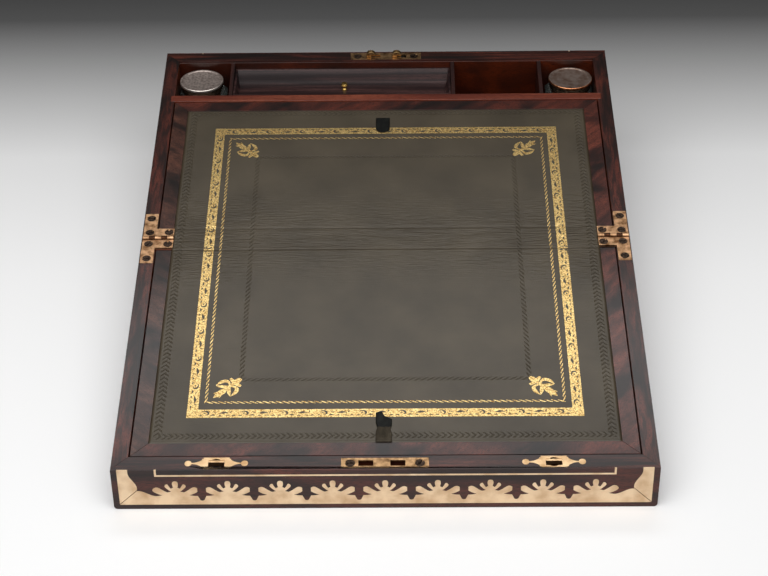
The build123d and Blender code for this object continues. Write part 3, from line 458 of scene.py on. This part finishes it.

# The hinges: L shaped brass leaves let into the walls, their knuckles on a pin, and held by
# steel screws whose slots were left at chance angles. The lid's knuckles are coloured near black as
# painted shade.

leaf_brass = metal("leaf_brass", paint("7a5638"), paint("d9ad84"), rough=0.38, blotch=4.5)
shaded_knuckle_brass = metal("painted_shade_knuckle_brass", paint("2a1a14"), paint("5a3c2a"), rough=0.45, blotch=2.0)
screw_steel = metal("screw_steel", paint("1c1512"), paint("5a4a40"), rough=0.48, blotch=1.6)
knuckle_reach = 2.0 * mm
for half in ("base", "lid"):
    leaves = eased(f"{half}_hinge_leaves", 0.15 * mm, leaf_brass)
    # Painted shade: the knuckles of the lid's leaves take a near-black brass beside the bright
    # knuckles of the base.
    if half == "lid":
        leaves.data.materials.append(shaded_knuckle_brass)
        for face in leaves.data.polygons:
            if face.center.y > -knuckle_reach:
                face.material_index = 1
    eased(f"{half}_screws", 0.12 * mm, screw_steel)
eased("hinge_pins", 0.1 * mm, screw_steel)

# The pen section and the rests of the flaps. They are plain strips and boards of mahogany, cut
# straight and glued in, and the rail is redder than the rest.

rail_red = wood(
    "red_mahogany_rail",
    (paint("4a1c12"), paint("6e3222"), paint("8c4a34")),
    figure=(180, 7),
    streaks=0.3,
)
well_mahogany = wood(
    "well_mahogany",
    (paint("260b03"), paint("3d1405"), paint("57200a")),
    figure=(60, 16),
    streaks=0.25,
    shift=2.1,
)
divider_mahogany = wood(
    "divider_mahogany", (paint("180b0a"), paint("2c1512"), paint("44221c")), grain=90.0, streaks=0.3
)
strip_edge = 0.3 * mm
for strip in ("pen_floor", "pen_partition", "tray_rests", "pen_back_lining"):
    eased(strip, strip_edge, well_mahogany)
for strip in ("base_flap_rests", "lid_flap_rests"):
    eased(strip, strip_edge, inner_mahogany)
eased("pen_dividers", strip_edge, divider_mahogany)
eased("pen_rail", 0.4 * mm, rail_red)

# The pen tray is a lift-out block of rosewood with a trough scooped along it. A turned brass
# knob in the middle lifts it.

tray_rosewood = wood(
    "tray_rosewood",
    (paint("1a0f10"), paint("33201f"), paint("4e3532")),
    figure=(150, 6),
    gloss=0.5,
    polish=0.2,
)
eased("pen_tray", 0.4 * mm, tray_rosewood)
knob_brass = metal("knob_brass", paint("a87c38"), paint("efca7a"), rough=0.25, blotch=3.0)
eased("tray_knob", 0, knob_brass)

# The inkwells: moulded square bottles with a brass collar on the neck. Their turned caps were
# silvered, and the right one is worn to the copper round its rim. The near side of each rim is
# coloured lighter as painted highlight, in copper on the right cap, and the skirt under each
# disc is coloured dark as painted shade.

bottle_glass, glass_output = blank("bottle_glass")
glass_tree = bottle_glass.node_tree
glass_tree.links.new(
    shade(
        glass_tree,
        "BsdfPrincipled",
        {
            "Base Color": paint("dfe8e2"),
            "Roughness": 0.08,
            "IOR": 1.5,
            "Transmission Weight": 0.9,
        },
    ).outputs[0],
    glass_output.inputs[0],
)
cap_metals = {
    "left": metal("silvered_cap", paint("a3938b"), paint("d8cac2"), rough=0.5, blotch=2.2),
    "right": metal("worn_cap", paint("8d7263"), paint("b3a196"), rough=0.48, blotch=6.0),
}
# Painted highlight: a lighter tone for the near side of each cap's rim, over the real copper wear
# on the right cap.
cap_edge_wear_and_highlight = {
    "left": metal("painted_highlight_edge", paint("e8dcd2"), paint("fff6ec"), rough=0.4, blotch=3.0),
    "right": metal("copper_wear_and_highlight_edge", paint("b3683e"), paint("f0a878"), rough=0.35, blotch=3.0),
}
# Painted shade: the skirts under the cap discs are coloured near black.
skirt_shade_metal = metal("painted_shade_skirt", paint("15110e"), paint("4a3c30"), rough=0.5, blotch=2.5)
seal_leather = wood("seal_leather", (paint("2a1a12"), paint("4a3426"), paint("6a5040")))
disc_thickness = 2.3 * mm
edge_width = 2.0 * mm
for side in ("left", "right"):
    eased(f"inkwell_{side}_glass", 0.5 * mm, bottle_glass)
    eased(f"inkwell_{side}_collar", 0.1 * mm, leaf_brass)
    eased(f"cap_seal_{side}", 0.3 * mm, seal_leather)
    cap = eased(f"cap_{side}", 0.15 * mm, cap_metals[side])
    cap.data.materials.append(cap_edge_wear_and_highlight[side])
    cap.data.materials.append(skirt_shade_metal)
    low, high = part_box(f"cap_{side}")
    middle = (low + high) / 2
    # Faces under the disc take painted shade; faces of the near side of the rim take painted
    # highlight.
    for face in cap.data.polygons:
        out = (face.center - middle).xy.length
        if face.center.z < high.z - disc_thickness:
            face.material_index = 2
        elif out > high.x - middle.x - edge_width and face.center.y < middle.y:
            face.material_index = 1

# The writing flaps: thin boards of mahogany. On each a frame of rosewood, cut across the
# grain and mitred, stands round the leather on three sides.

board_mahogany = wood("flap_mahogany", MAHOGANY, figure=(200, 8), shift=1.3)
end_banding = wood(
    "rosewood_end_banding", ROSEWOOD, grain=40.0, figure=(46, 11), streaks=0.3, shift=0.2
)
left_banding = wood(
    "rosewood_left_banding",
    (paint("150c09"), paint("3a211a"), paint("5e3a2d")),
    grain=-40.0,
    figure=(42, 9),
    streaks=0.45,
    shift=0.5,
)
right_banding = wood(
    "rosewood_right_banding",
    (paint("1a0b08"), paint("4a231b"), paint("743a2c")),
    grain=48.0,
    figure=(42, 9),
    streaks=0.45,
    shift=0.8,
)
for flap in ("upper_flap", "lower_flap"):
    eased(f"{flap}_board", 0.3 * mm, board_mahogany)
    strips = eased(f"{flap}_banding", 0.2 * mm, end_banding)
    strips.data.materials.append(left_banding)
    strips.data.materials.append(right_banding)
    leather_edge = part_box(f"{flap}_leather")[1].x
    for face in strips.data.polygons:
        if abs(face.center.x) > leather_edge:
            face.material_index = 1 if face.center.x < 0 else 2

# The writing leather: dark green skiver, glued down over both flaps and across the two hinge
# walls between them. It is made as three sheets that meet at the lines where the flaps turn.

rim_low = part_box("lid_left_wall")[1]
rim_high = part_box("base_left_wall")[1]
tilt = math.atan2(rim_high.z - rim_low.z, rim_high.y - rim_low.y)
hinge_height = rim_low.z - rim_low.y * math.tan(tilt)


def on_slope(x, s, n):
    """Points over the sloping rims: x across, s up the slope from the hinge line, n over it."""
    y = s * math.cos(tilt) - n * math.sin(tilt)
    z = hinge_height + s * math.sin(tilt) + n * math.cos(tilt)
    return np.stack(np.broadcast_arrays(x, y, z), -1)


def up_slope(point):
    """The distance s up the slope of a point of the frame."""
    return point.y * math.cos(tilt) + (point.z - hinge_height) * math.sin(tilt)


surface_drop = 0.8 * mm
leather_thickness = 1.0 * mm
leather_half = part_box("upper_flap_leather")[1].x
leather_far = up_slope(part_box("upper_flap_leather")[1])
lower_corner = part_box("lower_flap_leather")[0]
# The near edge is measured on the corner turned half a turn about the hinge line.
leather_near = -up_slope(Vector((0, -lower_corner.y, 2 * hinge_height - lower_corner.z)))
upper_fold = 12.1 * mm
lower_fold = -13.4 * mm


def lie(x, s):
    """Height of the leather over its flat bed. Each term but the wave is a bell curve,
    exp(-((s - middle) / width)^2): a sharp crease at the lower fold, a softer one at the upper,
    waves that fade away from both, and edges pressed down."""

    def bell(distance, width):
        return np.exp(-((distance / (width * mm)) ** 2))

    crease = 0.32 * bell(s + 13.7 * mm, 0.9)
    dip = 0.22 * bell(s - 12.4 * mm, 1.6)
    wave = np.sin(s / (1.9 * mm) + 3 * np.sin(x / (31 * mm))) * np.sin(x / (23 * mm) + 1.0)
    waves = 0.07 * bell(s - 4 * mm, 16) * (1 + wave)
    edge = np.minimum(leather_half - np.abs(x), np.minimum(leather_far - s, s - leather_near))
    return -(crease + dip + 0.22 * bell(edge, 1.1) + waves) * mm


def grid_mesh(name, points, uv=None):
    """A mesh of quads on an array of points with rows and columns, facing up where rows run
    to the far side and columns to the right. Each point keeps its place in the uv array."""
    rows, columns = points.shape[:2]
    mesh = bpy.data.meshes.new(name)
    index = np.arange(rows * columns).reshape(rows, columns)
    quads = np.stack([index[:-1, :-1], index[:-1, 1:], index[1:, 1:], index[1:, :-1]], -1)
    mesh.vertices.add(rows * columns)
    mesh.vertices.foreach_set("co", points.astype(np.float32).ravel())
    mesh.loops.add(quads.size)
    mesh.loops.foreach_set("vertex_index", quads.ravel())
    mesh.polygons.add(quads.size // 4)
    mesh.polygons.foreach_set("loop_start", np.arange(0, quads.size, 4))
    mesh.polygons.foreach_set("use_smooth", np.ones(quads.size // 4, bool))
    if uv is not None:
        layer = mesh.uv_layers.new(name="slope")
        layer.data.foreach_set("uv", uv.reshape(-1, 2)[quads.ravel()].astype(np.float32).ravel())
    mesh.update()
    mesh.validate()
    return mesh


def ring(tree, x, s, half_x, far, near):
    """Distance out from the lines of a rectangle on the leather, and the way along them."""
    middle, half_s = (far + near) / 2, (far - near) / 2
    out_x = calc(tree, "SUBTRACT", calc(tree, "ABSOLUTE", x), half_x)
    out_s = calc(
        tree, "SUBTRACT", calc(tree, "ABSOLUTE", calc(tree, "SUBTRACT", s, middle)), half_s
    )
    on_side = calc(tree, "GREATER_THAN", out_x, out_s)
    way = calc(
        tree,
        "ADD",
        calc(tree, "MULTIPLY", on_side, s),
        calc(tree, "MULTIPLY", calc(tree, "SUBTRACT", 1.0, on_side), x),
    )
    return calc(tree, "MAXIMUM", out_x, out_s), way


def fade(tree, value, near, far, first=1.0, last=0.0):
    """Runs from first, where the size of value is below near, to last, where it passes far."""
    return shade(
        tree,
        "MapRange",
        {
            "Value": calc(tree, "ABSOLUTE", value),
            "From Min": near * mm,
            "From Max": far * mm,
            "To Min": first,
            "To Max": last,
        },
    ).outputs[0]


writing_leather, leather_output = blank("writing_leather")
hide = writing_leather.node_tree
hide_uv = shade(hide, "UVMap", uv_map="slope").outputs[0]
hide_split = shade(hide, "SeparateXYZ", {0: hide_uv})
hide_x, hide_s = hide_split.outputs["X"], hide_split.outputs["Y"]
mottle = shade(hide, "TexNoise", {"Vector": hide_uv, "Scale": 22.0, "Detail": 5.0}).outputs["Fac"]
grain = shade(
    hide, "TexVoronoi", {"Vector": hide_uv, "Scale": 1300.0, "Randomness": 1.0}
).outputs["Distance"]

# The blind lines, each given as its half width in x, its far s and its near s.
herring_line = (168.4 * mm, 163.6 * mm, -217.9 * mm)
herring_pitch = 4.4 * mm
herring_out, herring_way = ring(hide, hide_x, hide_s, *herring_line)
herring_wave = calc(
    hide,
    "SINE",
    calc(
        hide,
        "MULTIPLY",
        calc(hide, "ADD", herring_way, calc(hide, "ABSOLUTE", herring_out)),
        2 * math.pi / herring_pitch,
    ),
)
herring_near = fade(hide, herring_out, 2.4, 3.2)
blind_rope_line = (109.5 * mm, 103.8 * mm, -160.4 * mm)
blind_rope_pitch = 4.8 * mm
rope_slant = 1.4
rope_out, rope_way = ring(hide, hide_x, hide_s, *blind_rope_line)
rope_wave = calc(
    hide,
    "SINE",
    calc(
        hide,
        "MULTIPLY",
        calc(hide, "ADD", rope_way, calc(hide, "MULTIPLY", rope_out, rope_slant)),
        2 * math.pi / blind_rope_pitch,
    ),
)
rope_near = fade(hide, rope_out, 1.2, 2.0)
tooling = calc(
    hide,
    "ADD",
    calc(hide, "MULTIPLY", calc(hide, "MAXIMUM", herring_wave, 0.0), herring_near),
    calc(hide, "MULTIPLY", calc(hide, "MAXIMUM", rope_wave, 0.0), rope_near),
)
wrinkle_spread = shade(
    hide, "Mapping", {"Vector": hide_uv, "Scale": (14 * mm, 1.8 * mm, 1.0)}, vector_type="TEXTURE"
).outputs[0]
wrinkles = shade(
    hide, "TexNoise", {"Vector": wrinkle_spread, "Scale": 1.0, "Detail": 4.0, "Distortion": 0.6}
).outputs["Fac"]
fold_near = fade(hide, hide_s, 12, 60, last=0.12)
side_near = fade(hide, hide_x, 90, 170, first=0.45, last=1.2)
wrinkle_height = calc(hide, "MULTIPLY", wrinkles, calc(hide, "MULTIPLY", fold_near, side_near))
hide_colour = ramp(hide, mottle, (0.3, paint("3c3427")), (0.7, paint("4d4435")))
tooled_colour = shade(
    hide,
    "Mix",
    {
        0: shade(
            hide, "MapRange", {"Value": tooling, "From Min": 0.3, "From Max": 1.0, "To Max": 0.28}
        ).outputs[0],
        6: hide_colour,
        7: paint("1e1c14"),
    },
    data_type="RGBA",
).outputs[2]
wrinkle_bump = shade(
    hide, "Bump", {"Strength": 1.0, "Distance": 0.9 * mm, "Height": wrinkle_height}
).outputs[0]
tool_bump = shade(
    hide,
    "Bump",
    {"Strength": 1.0, "Distance": 0.3 * mm, "Height": tooling, "Normal": wrinkle_bump},
    invert=True,
).outputs[0]
grain_bump = shade(
    hide, "Bump", {"Strength": 0.25, "Distance": 0.08 * mm, "Height": grain, "Normal": tool_bump}
).outputs[0]
hide.links.new(
    shade(
        hide,
        "BsdfPrincipled",
        {"Base Color": tooled_colour, "Roughness": 0.38, "Normal": grain_bump},
    ).outputs[0],
    leather_output.inputs[0],
)

leather_columns = np.linspace(-leather_half, leather_half, 181)


def leather_sheet(name, lines, replaced, joined, start, end):
    """One sheet of the leather, a grid over lines of s by columns of x, thickened downwards."""
    x, s = np.meshgrid(leather_columns, lines)
    points = on_slope(x, s, lie(x, s) - surface_drop)
    mesh = grid_mesh(name, points, np.stack([x, s], -1))
    mesh.materials.append(writing_leather)
    sheet = bpy.data.objects.new(name, mesh)
    bpy.context.scene.collection.objects.link(sheet)
    thick = sheet.modifiers.new("thickness", "SOLIDIFY")
    thick.thickness = leather_thickness
    thick.offset = -1.0
    on_slope(0, start, 0)
    on_slope(0, end, 0)
    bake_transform(sheet)
    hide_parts(*replaced)


BLENDS = {
    "upper": (("base", "upper_flap"), upper_fold, upper_fold + 1 * mm),
    "middle": (("base", "lid"), 2 * mm, -2 * mm),
    "lower": (("lid", "lower_flap"), lower_fold, lower_fold - 1 * mm),
}
finer_to = 24 * mm  # the grid has closer lines between the folds and here
leather_sheet(
    "leather_upper",
    np.concatenate(
        [np.linspace(upper_fold, finer_to, 30)[:-1], np.linspace(finer_to, leather_far, 90)]
    ),
    ["upper_flap_leather"],
    *BLENDS["upper"],
)
leather_sheet(
    "leather_middle",
    np.linspace(lower_fold, upper_fold, 60),
    ["base_leather_fold", "lid_leather_fold"],
    *BLENDS["middle"],
)
leather_sheet(
    "leather_lower",
    np.concatenate(
        [np.linspace(leather_near, -finer_to, 120)[:-1], np.linspace(-finer_to, lower_fold, 30)]
    ),
    ["lower_flap_leather"],
    *BLENDS["lower"],
)

# The gold tooling: leaf pressed into the leather with hot tools. A roll of scrolls runs round
# the skin, then a rope line, and a lily stands in each corner of it.

# The leaf's colour drifts in small patches from a worn brown to a cream that is painted highlight
# on the embossed foil.
gold_leaf = metal("gold_leaf", paint("9a6a2c"), paint("ffe29c"), rough=0.36, blotch=1.1)
gold_lift = 0.05 * mm
foil_step = 0.004 * mm  # parts of the foil that cross lie at different heights
foil_steps = 8


def blade(spine, widths, steps=9):
    """Outline of a tapering stroke. Its spine is the Bezier curve of the given points, and
    its half width runs through the given widths, eased by a sine between its ends."""
    spine = np.array(spine, float)
    order = len(spine) - 1
    t = np.linspace(0, 1, steps)
    weights = [math.comb(order, k) * t**k * (1 - t) ** (order - k) for k in range(order + 1)]
    line = sum(w[:, None] * p for w, p in zip(weights, spine))
    way = np.gradient(line, axis=0)
    way /= np.linalg.norm(way, axis=1)[:, None]
    side = np.stack([-way[:, 1], way[:, 0]], 1)
    half = np.interp(t, np.linspace(0, 1, len(widths)), widths)[:, None]
    return np.concatenate([line + side * half, (line - side * half)[::-1]])


no_area = 1e-9


def filled(outline, *holes):
    """The triangles that fill an outline round its holes, as an array of corners."""
    loops = [np.asarray(loop, float) for loop in (outline, *holes)]
    corners = np.concatenate(loops)
    triangles = tessellate_polygon([[Vector((*p, 0.0)) for p in loop] for loop in loops])
    faces = corners[np.array(triangles)]
    one, two = faces[:, 1] - faces[:, 0], faces[:, 2] - faces[:, 0]
    doubled_area = one[:, 0] * two[:, 1] - one[:, 1] * two[:, 0]
    turned = doubled_area < 0
    faces[turned] = faces[turned][:, ::-1]
    return faces[np.abs(doubled_area) > no_area]


def placed(faces, origin, along, across):
    """Faces of a tool's own plane, set down with its first axis along and its second across."""
    moved = (
        np.array(origin)
        + faces[..., :1] * np.array(along, float)
        + faces[..., 1:] * np.array(across, float)
    )
    if along[0] * across[1] - along[1] * across[0] < 0:
        moved = moved[:, ::-1]
    return moved


# All measures of the foil are in millimetres, until it is laid on the leather.
roll_half_x = 148.5
roll_far = 143.2
roll_near = -199.8
roll_width = 8.5
cell_length = 14.8
outer_beads = 6
inner_beads = 2


def roll_cell(kind):
    """One cell of the scroll roll, a band of gold with beaded edges, from which the spaces
    between the leaves are left out. Two kinds of cell alternate. An edge runs at half the
    width plus or minus a depth times abs(sin(pi * beads * x / length))."""
    length, half = cell_length, roll_width / 2
    beads = np.linspace(0, length, 28)
    outer_bead = np.abs(np.sin(beads * math.pi * outer_beads / length))
    inner_bead = np.abs(np.sin(beads * math.pi * inner_beads / length))
    outer = np.stack([beads, -half + 0.28 * outer_bead], 1)
    inner = np.stack([beads, half - 0.2 * inner_bead], 1)
    outline = np.concatenate([outer, inner[::-1]])
    if kind == "curl":
        holes = [
            blade(
                [(2.6, 1.6), (5.4, 3.9), (9.8, 2.0), (8.4, -2.2), (5.6, -1.2)], [0.15, 0.95, 0.2]
            ),
            blade([(4.2, 0.5), (5.8, 0.3)], [0.6, 0.3], 4),
            blade([(9.4, -2.1), (11.2, -0.6), (13.2, -2.2)], [0.1, 0.85, 0.1], 6),
            blade([(0.6, -2.3), (2.0, -1.2), (3.6, -2.5)], [0.1, 0.7, 0.1], 6),
            blade([(10.8, 2.4), (12.6, 0.4), (14.2, 1.4)], [0.1, 0.4, 0.1], 6),
        ]
    else:
        holes = [
            blade([(1.0, 0.4), (3.6, 0.3), (5.0, 2.2), (8.4, 0.4)], [0.15, 1.2, 0.2]),
            blade([(9.0, 0.9), (10.4, 1.5), (9.8, 3.0)], [0.25, 0.5, 0.15], 6),
            blade([(0.6, -2.4), (1.8, -1.3), (3.0, -2.6)], [0.1, 0.7, 0.1], 6),
            blade([(10.6, -2.4), (12.0, -1.2), (13.8, -2.4)], [0.1, 0.7, 0.1], 6),
            blade([(5.6, -2.0), (7.8, -1.2), (9.4, -2.7)], [0.1, 0.4, 0.1], 6),
        ]
    return filled(outline, *holes)


def side_places(half_x, far, near):
    """The four sides of a rectangle on the leather: start, direction, way in and length."""
    return (
        ((-half_x, near), (1, 0), (0, 1), 2 * half_x),
        ((half_x, near), (0, 1), (-1, 0), far - near),
        ((half_x, far), (-1, 0), (0, -1), 2 * half_x),
        ((-half_x, far), (0, -1), (1, 0), far - near),
    )


foil = []
cells = {kind: roll_cell(kind) for kind in ("curl", "leaf")}
inset = roll_width / 2
corner = np.array([(0, 0), (roll_width, 0), (roll_width, roll_width), (0, roll_width)])
dots = [
    blade([(cx - 0.35, cy), (cx + 0.35, cy)], [0.3, 0.3], 3)
    for cx, cy in ((2.4, 2.6), (6.0, 2.4), (4.2, 5.2), (2.2, 6.6), (6.6, 6.2))
]
for start, along, inward, length in side_places(roll_half_x, roll_far, roll_near):
    clear = length - 2 * roll_width
    count = round(clear / cell_length)
    stretch = clear / count / cell_length
    foil.append(placed(filled(corner, *dots), start, along, inward))
    for k in range(count):
        at = (
            np.array(start)
            + np.array(along) * (roll_width + k * clear / count)
            + np.array(inward) * inset
        )
        foil.append(
            placed(cells["curl" if k % 2 == 0 else "leaf"], at, np.array(along) * stretch, inward)
        )

rope_half_x = 134.8
rope_far = 129.0
rope_near = -184.2
rope_pitch = 4.8
dash = filled(
    blade([(-3.1, -0.95), (-1.4, -1.2), (1.4, 1.2), (3.1, 0.95)], [0.15, 0.55, 0.15], 7)
)
for start, along, inward, length in side_places(rope_half_x, rope_far, rope_near):
    count = round(length / rope_pitch)
    for k in range(count):
        at = np.array(start) + np.array(along) * ((k + 0.5) * length / count)
        foil.append(placed(dash, at, along, -np.array(inward)))

lily = [
    blade([(1.0, 0), (5.0, 0), (11.0, 0.4), (15.2, 0)], [0.7, 2.7, 2.3, 0.1], 12),
    blade([(9.0, 1.2), (10.2, 2.6), (12.2, 3.3)], [1.1, 0.7, 0.1], 6),
    blade([(9.0, -1.2), (10.2, -2.6), (12.2, -3.3)], [1.1, 0.7, 0.1], 6),
    blade([(3.0, 0), (-8.0, 0)], [0.9, 1.5, 1.2], 5),
    blade([(-6.0, 0), (-13.0, 0)], [1.1, 2.2, 2.3, 1.3], 8),
]
for hand in (-1, 1):
    lily.append(blade([(-6.2, 0), (-7.2, 2.6 * hand), (-7.6, 5.9 * hand)], [1.2, 1.6, 1.0], 7))
    lily.append(
        blade(
            [(-3.0, 1.4 * hand), (-6.6, 7.6 * hand), (0.4, 8.4 * hand), (5.2, 8.0 * hand)],
            [0.7, 1.5, 1.5, 0.1],
            12,
        )
    )
    lily.append(
        blade([(5.2, 8.0 * hand), (3.4, 4.0 * hand), (-0.4, 0.6 * hand)], [0.1, 1.6, 1.0], 8)
    )
lily_half_x = 119.0
lily_far = 113.3
lily_near = -168.6
for x_hand in (-1, 1):
    for s_hand, s_place in ((1, lily_far), (-1, lily_near)):
        outward = np.array([x_hand, s_hand]) / math.sqrt(2)
        sideways = np.array([-outward[1], outward[0]])
        for part in lily:
            foil.append(placed(filled(part), (x_hand * lily_half_x, s_place), outward, sideways))

lifts = np.concatenate([np.full(len(part), k % foil_steps) for k, part in enumerate(foil)])
foil = np.concatenate(foil) * mm
middle_s = foil[:, :, 1].mean(1)
for name, chosen in (
    ("upper", middle_s >= upper_fold),
    ("middle", (middle_s < upper_fold) & (middle_s > lower_fold)),
    ("lower", middle_s <= lower_fold),
):
    corners = foil[chosen].reshape(-1, 2)
    lift = gold_lift + np.repeat(lifts[chosen], 3) * foil_step
    x, s = corners[:, 0], corners[:, 1]
    points = on_slope(x, s, lie(x, s) - surface_drop + lift)
    mesh = bpy.data.meshes.new(f"gold_{name}")
    mesh.from_pydata(points.tolist(), [], np.arange(len(points)).reshape(-1, 3).tolist())
    mesh.materials.append(gold_leaf)
    tooling_piece = bpy.data.objects.new(f"gold_{name}", mesh)
    bpy.context.scene.collection.objects.link(tooling_piece)
    joined, start, end = BLENDS[name]
    on_slope(0, start, 0)
    on_slope(0, end, 0)
    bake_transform(tooling_piece)

# The pull tabs: tongues of thin black leather, each glued at the edge of the writing leather and
# lying flat on it. The lower one is brown at its foot, and its free end is cut on the slant.

tab_leather = wood(
    "tab_leather",
    (paint("020202"), paint("070907"), paint("161a15")),
    grain=90.0,
    figure=(9, 3),
    gloss=0.5,
    polish=0.0,
    streaks=0.2,
)
brown_tab_foot = wood(
    "brown_tab_foot",
    (paint("2c261b"), paint("3a3226"), paint("484033")),
    grain=90.0,
    figure=(9, 3),
    gloss=0.6,
    polish=0.0,
    streaks=0.3,
)
tab_thickness = 0.9 * mm
tab_rise = 0.25 * mm
tab_half_width = 6.0 * mm
waist_reach = 3.0 * mm
waist_share = 0.2
blunt_end = 0.97  # where the quarter ellipse is cut off, so that the last row has a width


def tab_strip(name, middle_x, foot_s, end_s, end_round, slant, waist_s):
    """A tongue from foot_s to end_s. Its free end runs out in a quarter ellipse of end_round and
    leans by slant over its width. At waist_s it narrows by waist_share, as a bell curve."""
    along = np.sin(np.linspace(0, math.pi / 2, 40))
    across = np.linspace(-1, 1, 13)
    length = abs(end_s - foot_s)
    past = np.clip((along * length - length + end_round) / end_round, 0, blunt_end)
    spine = foot_s + (end_s - foot_s) * along
    width = tab_half_width * np.sqrt(1 - past**2)
    width = width * (1 - waist_share * np.exp(-(((spine - waist_s) / waist_reach) ** 2)))
    x = middle_x + width[:, None] * across[None, :]
    s = spine[:, None] + slant * along[:, None] ** 2 * across[None, :]
    mesh = grid_mesh(name, on_slope(x, s, np.full_like(x, -tab_rise)))
    mesh.materials.append(tab_leather)
    mesh.materials.append(brown_tab_foot)
    tongue = bpy.data.objects.new(name, mesh)
    bpy.context.scene.collection.objects.link(tongue)
    thick = tongue.modifiers.new("thickness", "SOLIDIFY")
    thick.thickness = tab_thickness
    thick.offset = 0.0
    return tongue


# Faces of a tongue nearer than this are coloured brown, as its foot.
brown_foot_below = -210.5 * mm
# Each row gives millimetres. A waist_s that lies off the tongue leaves its sides straight.
for name, flap, middle_x, foot_s, end_s, end_round, slant, waist_s in (
    ("upper_tab", "upper_flap", -2.5, 155.6, 136.4, 5.0, 0.0, 100.0),
    ("lower_tab", "lower_flap", -1.0, -225.0, -198.5, 1.2, -3.4, -211.5),
):
    tongue = tab_strip(
        name, middle_x * mm, foot_s * mm, end_s * mm, end_round * mm, slant * mm, waist_s * mm
    )
    for face in tongue.data.polygons:
        if up_slope(face.center) < brown_foot_below:
            face.material_index = 1
    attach(tongue, flap)
    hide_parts(f"{flap}_tab")
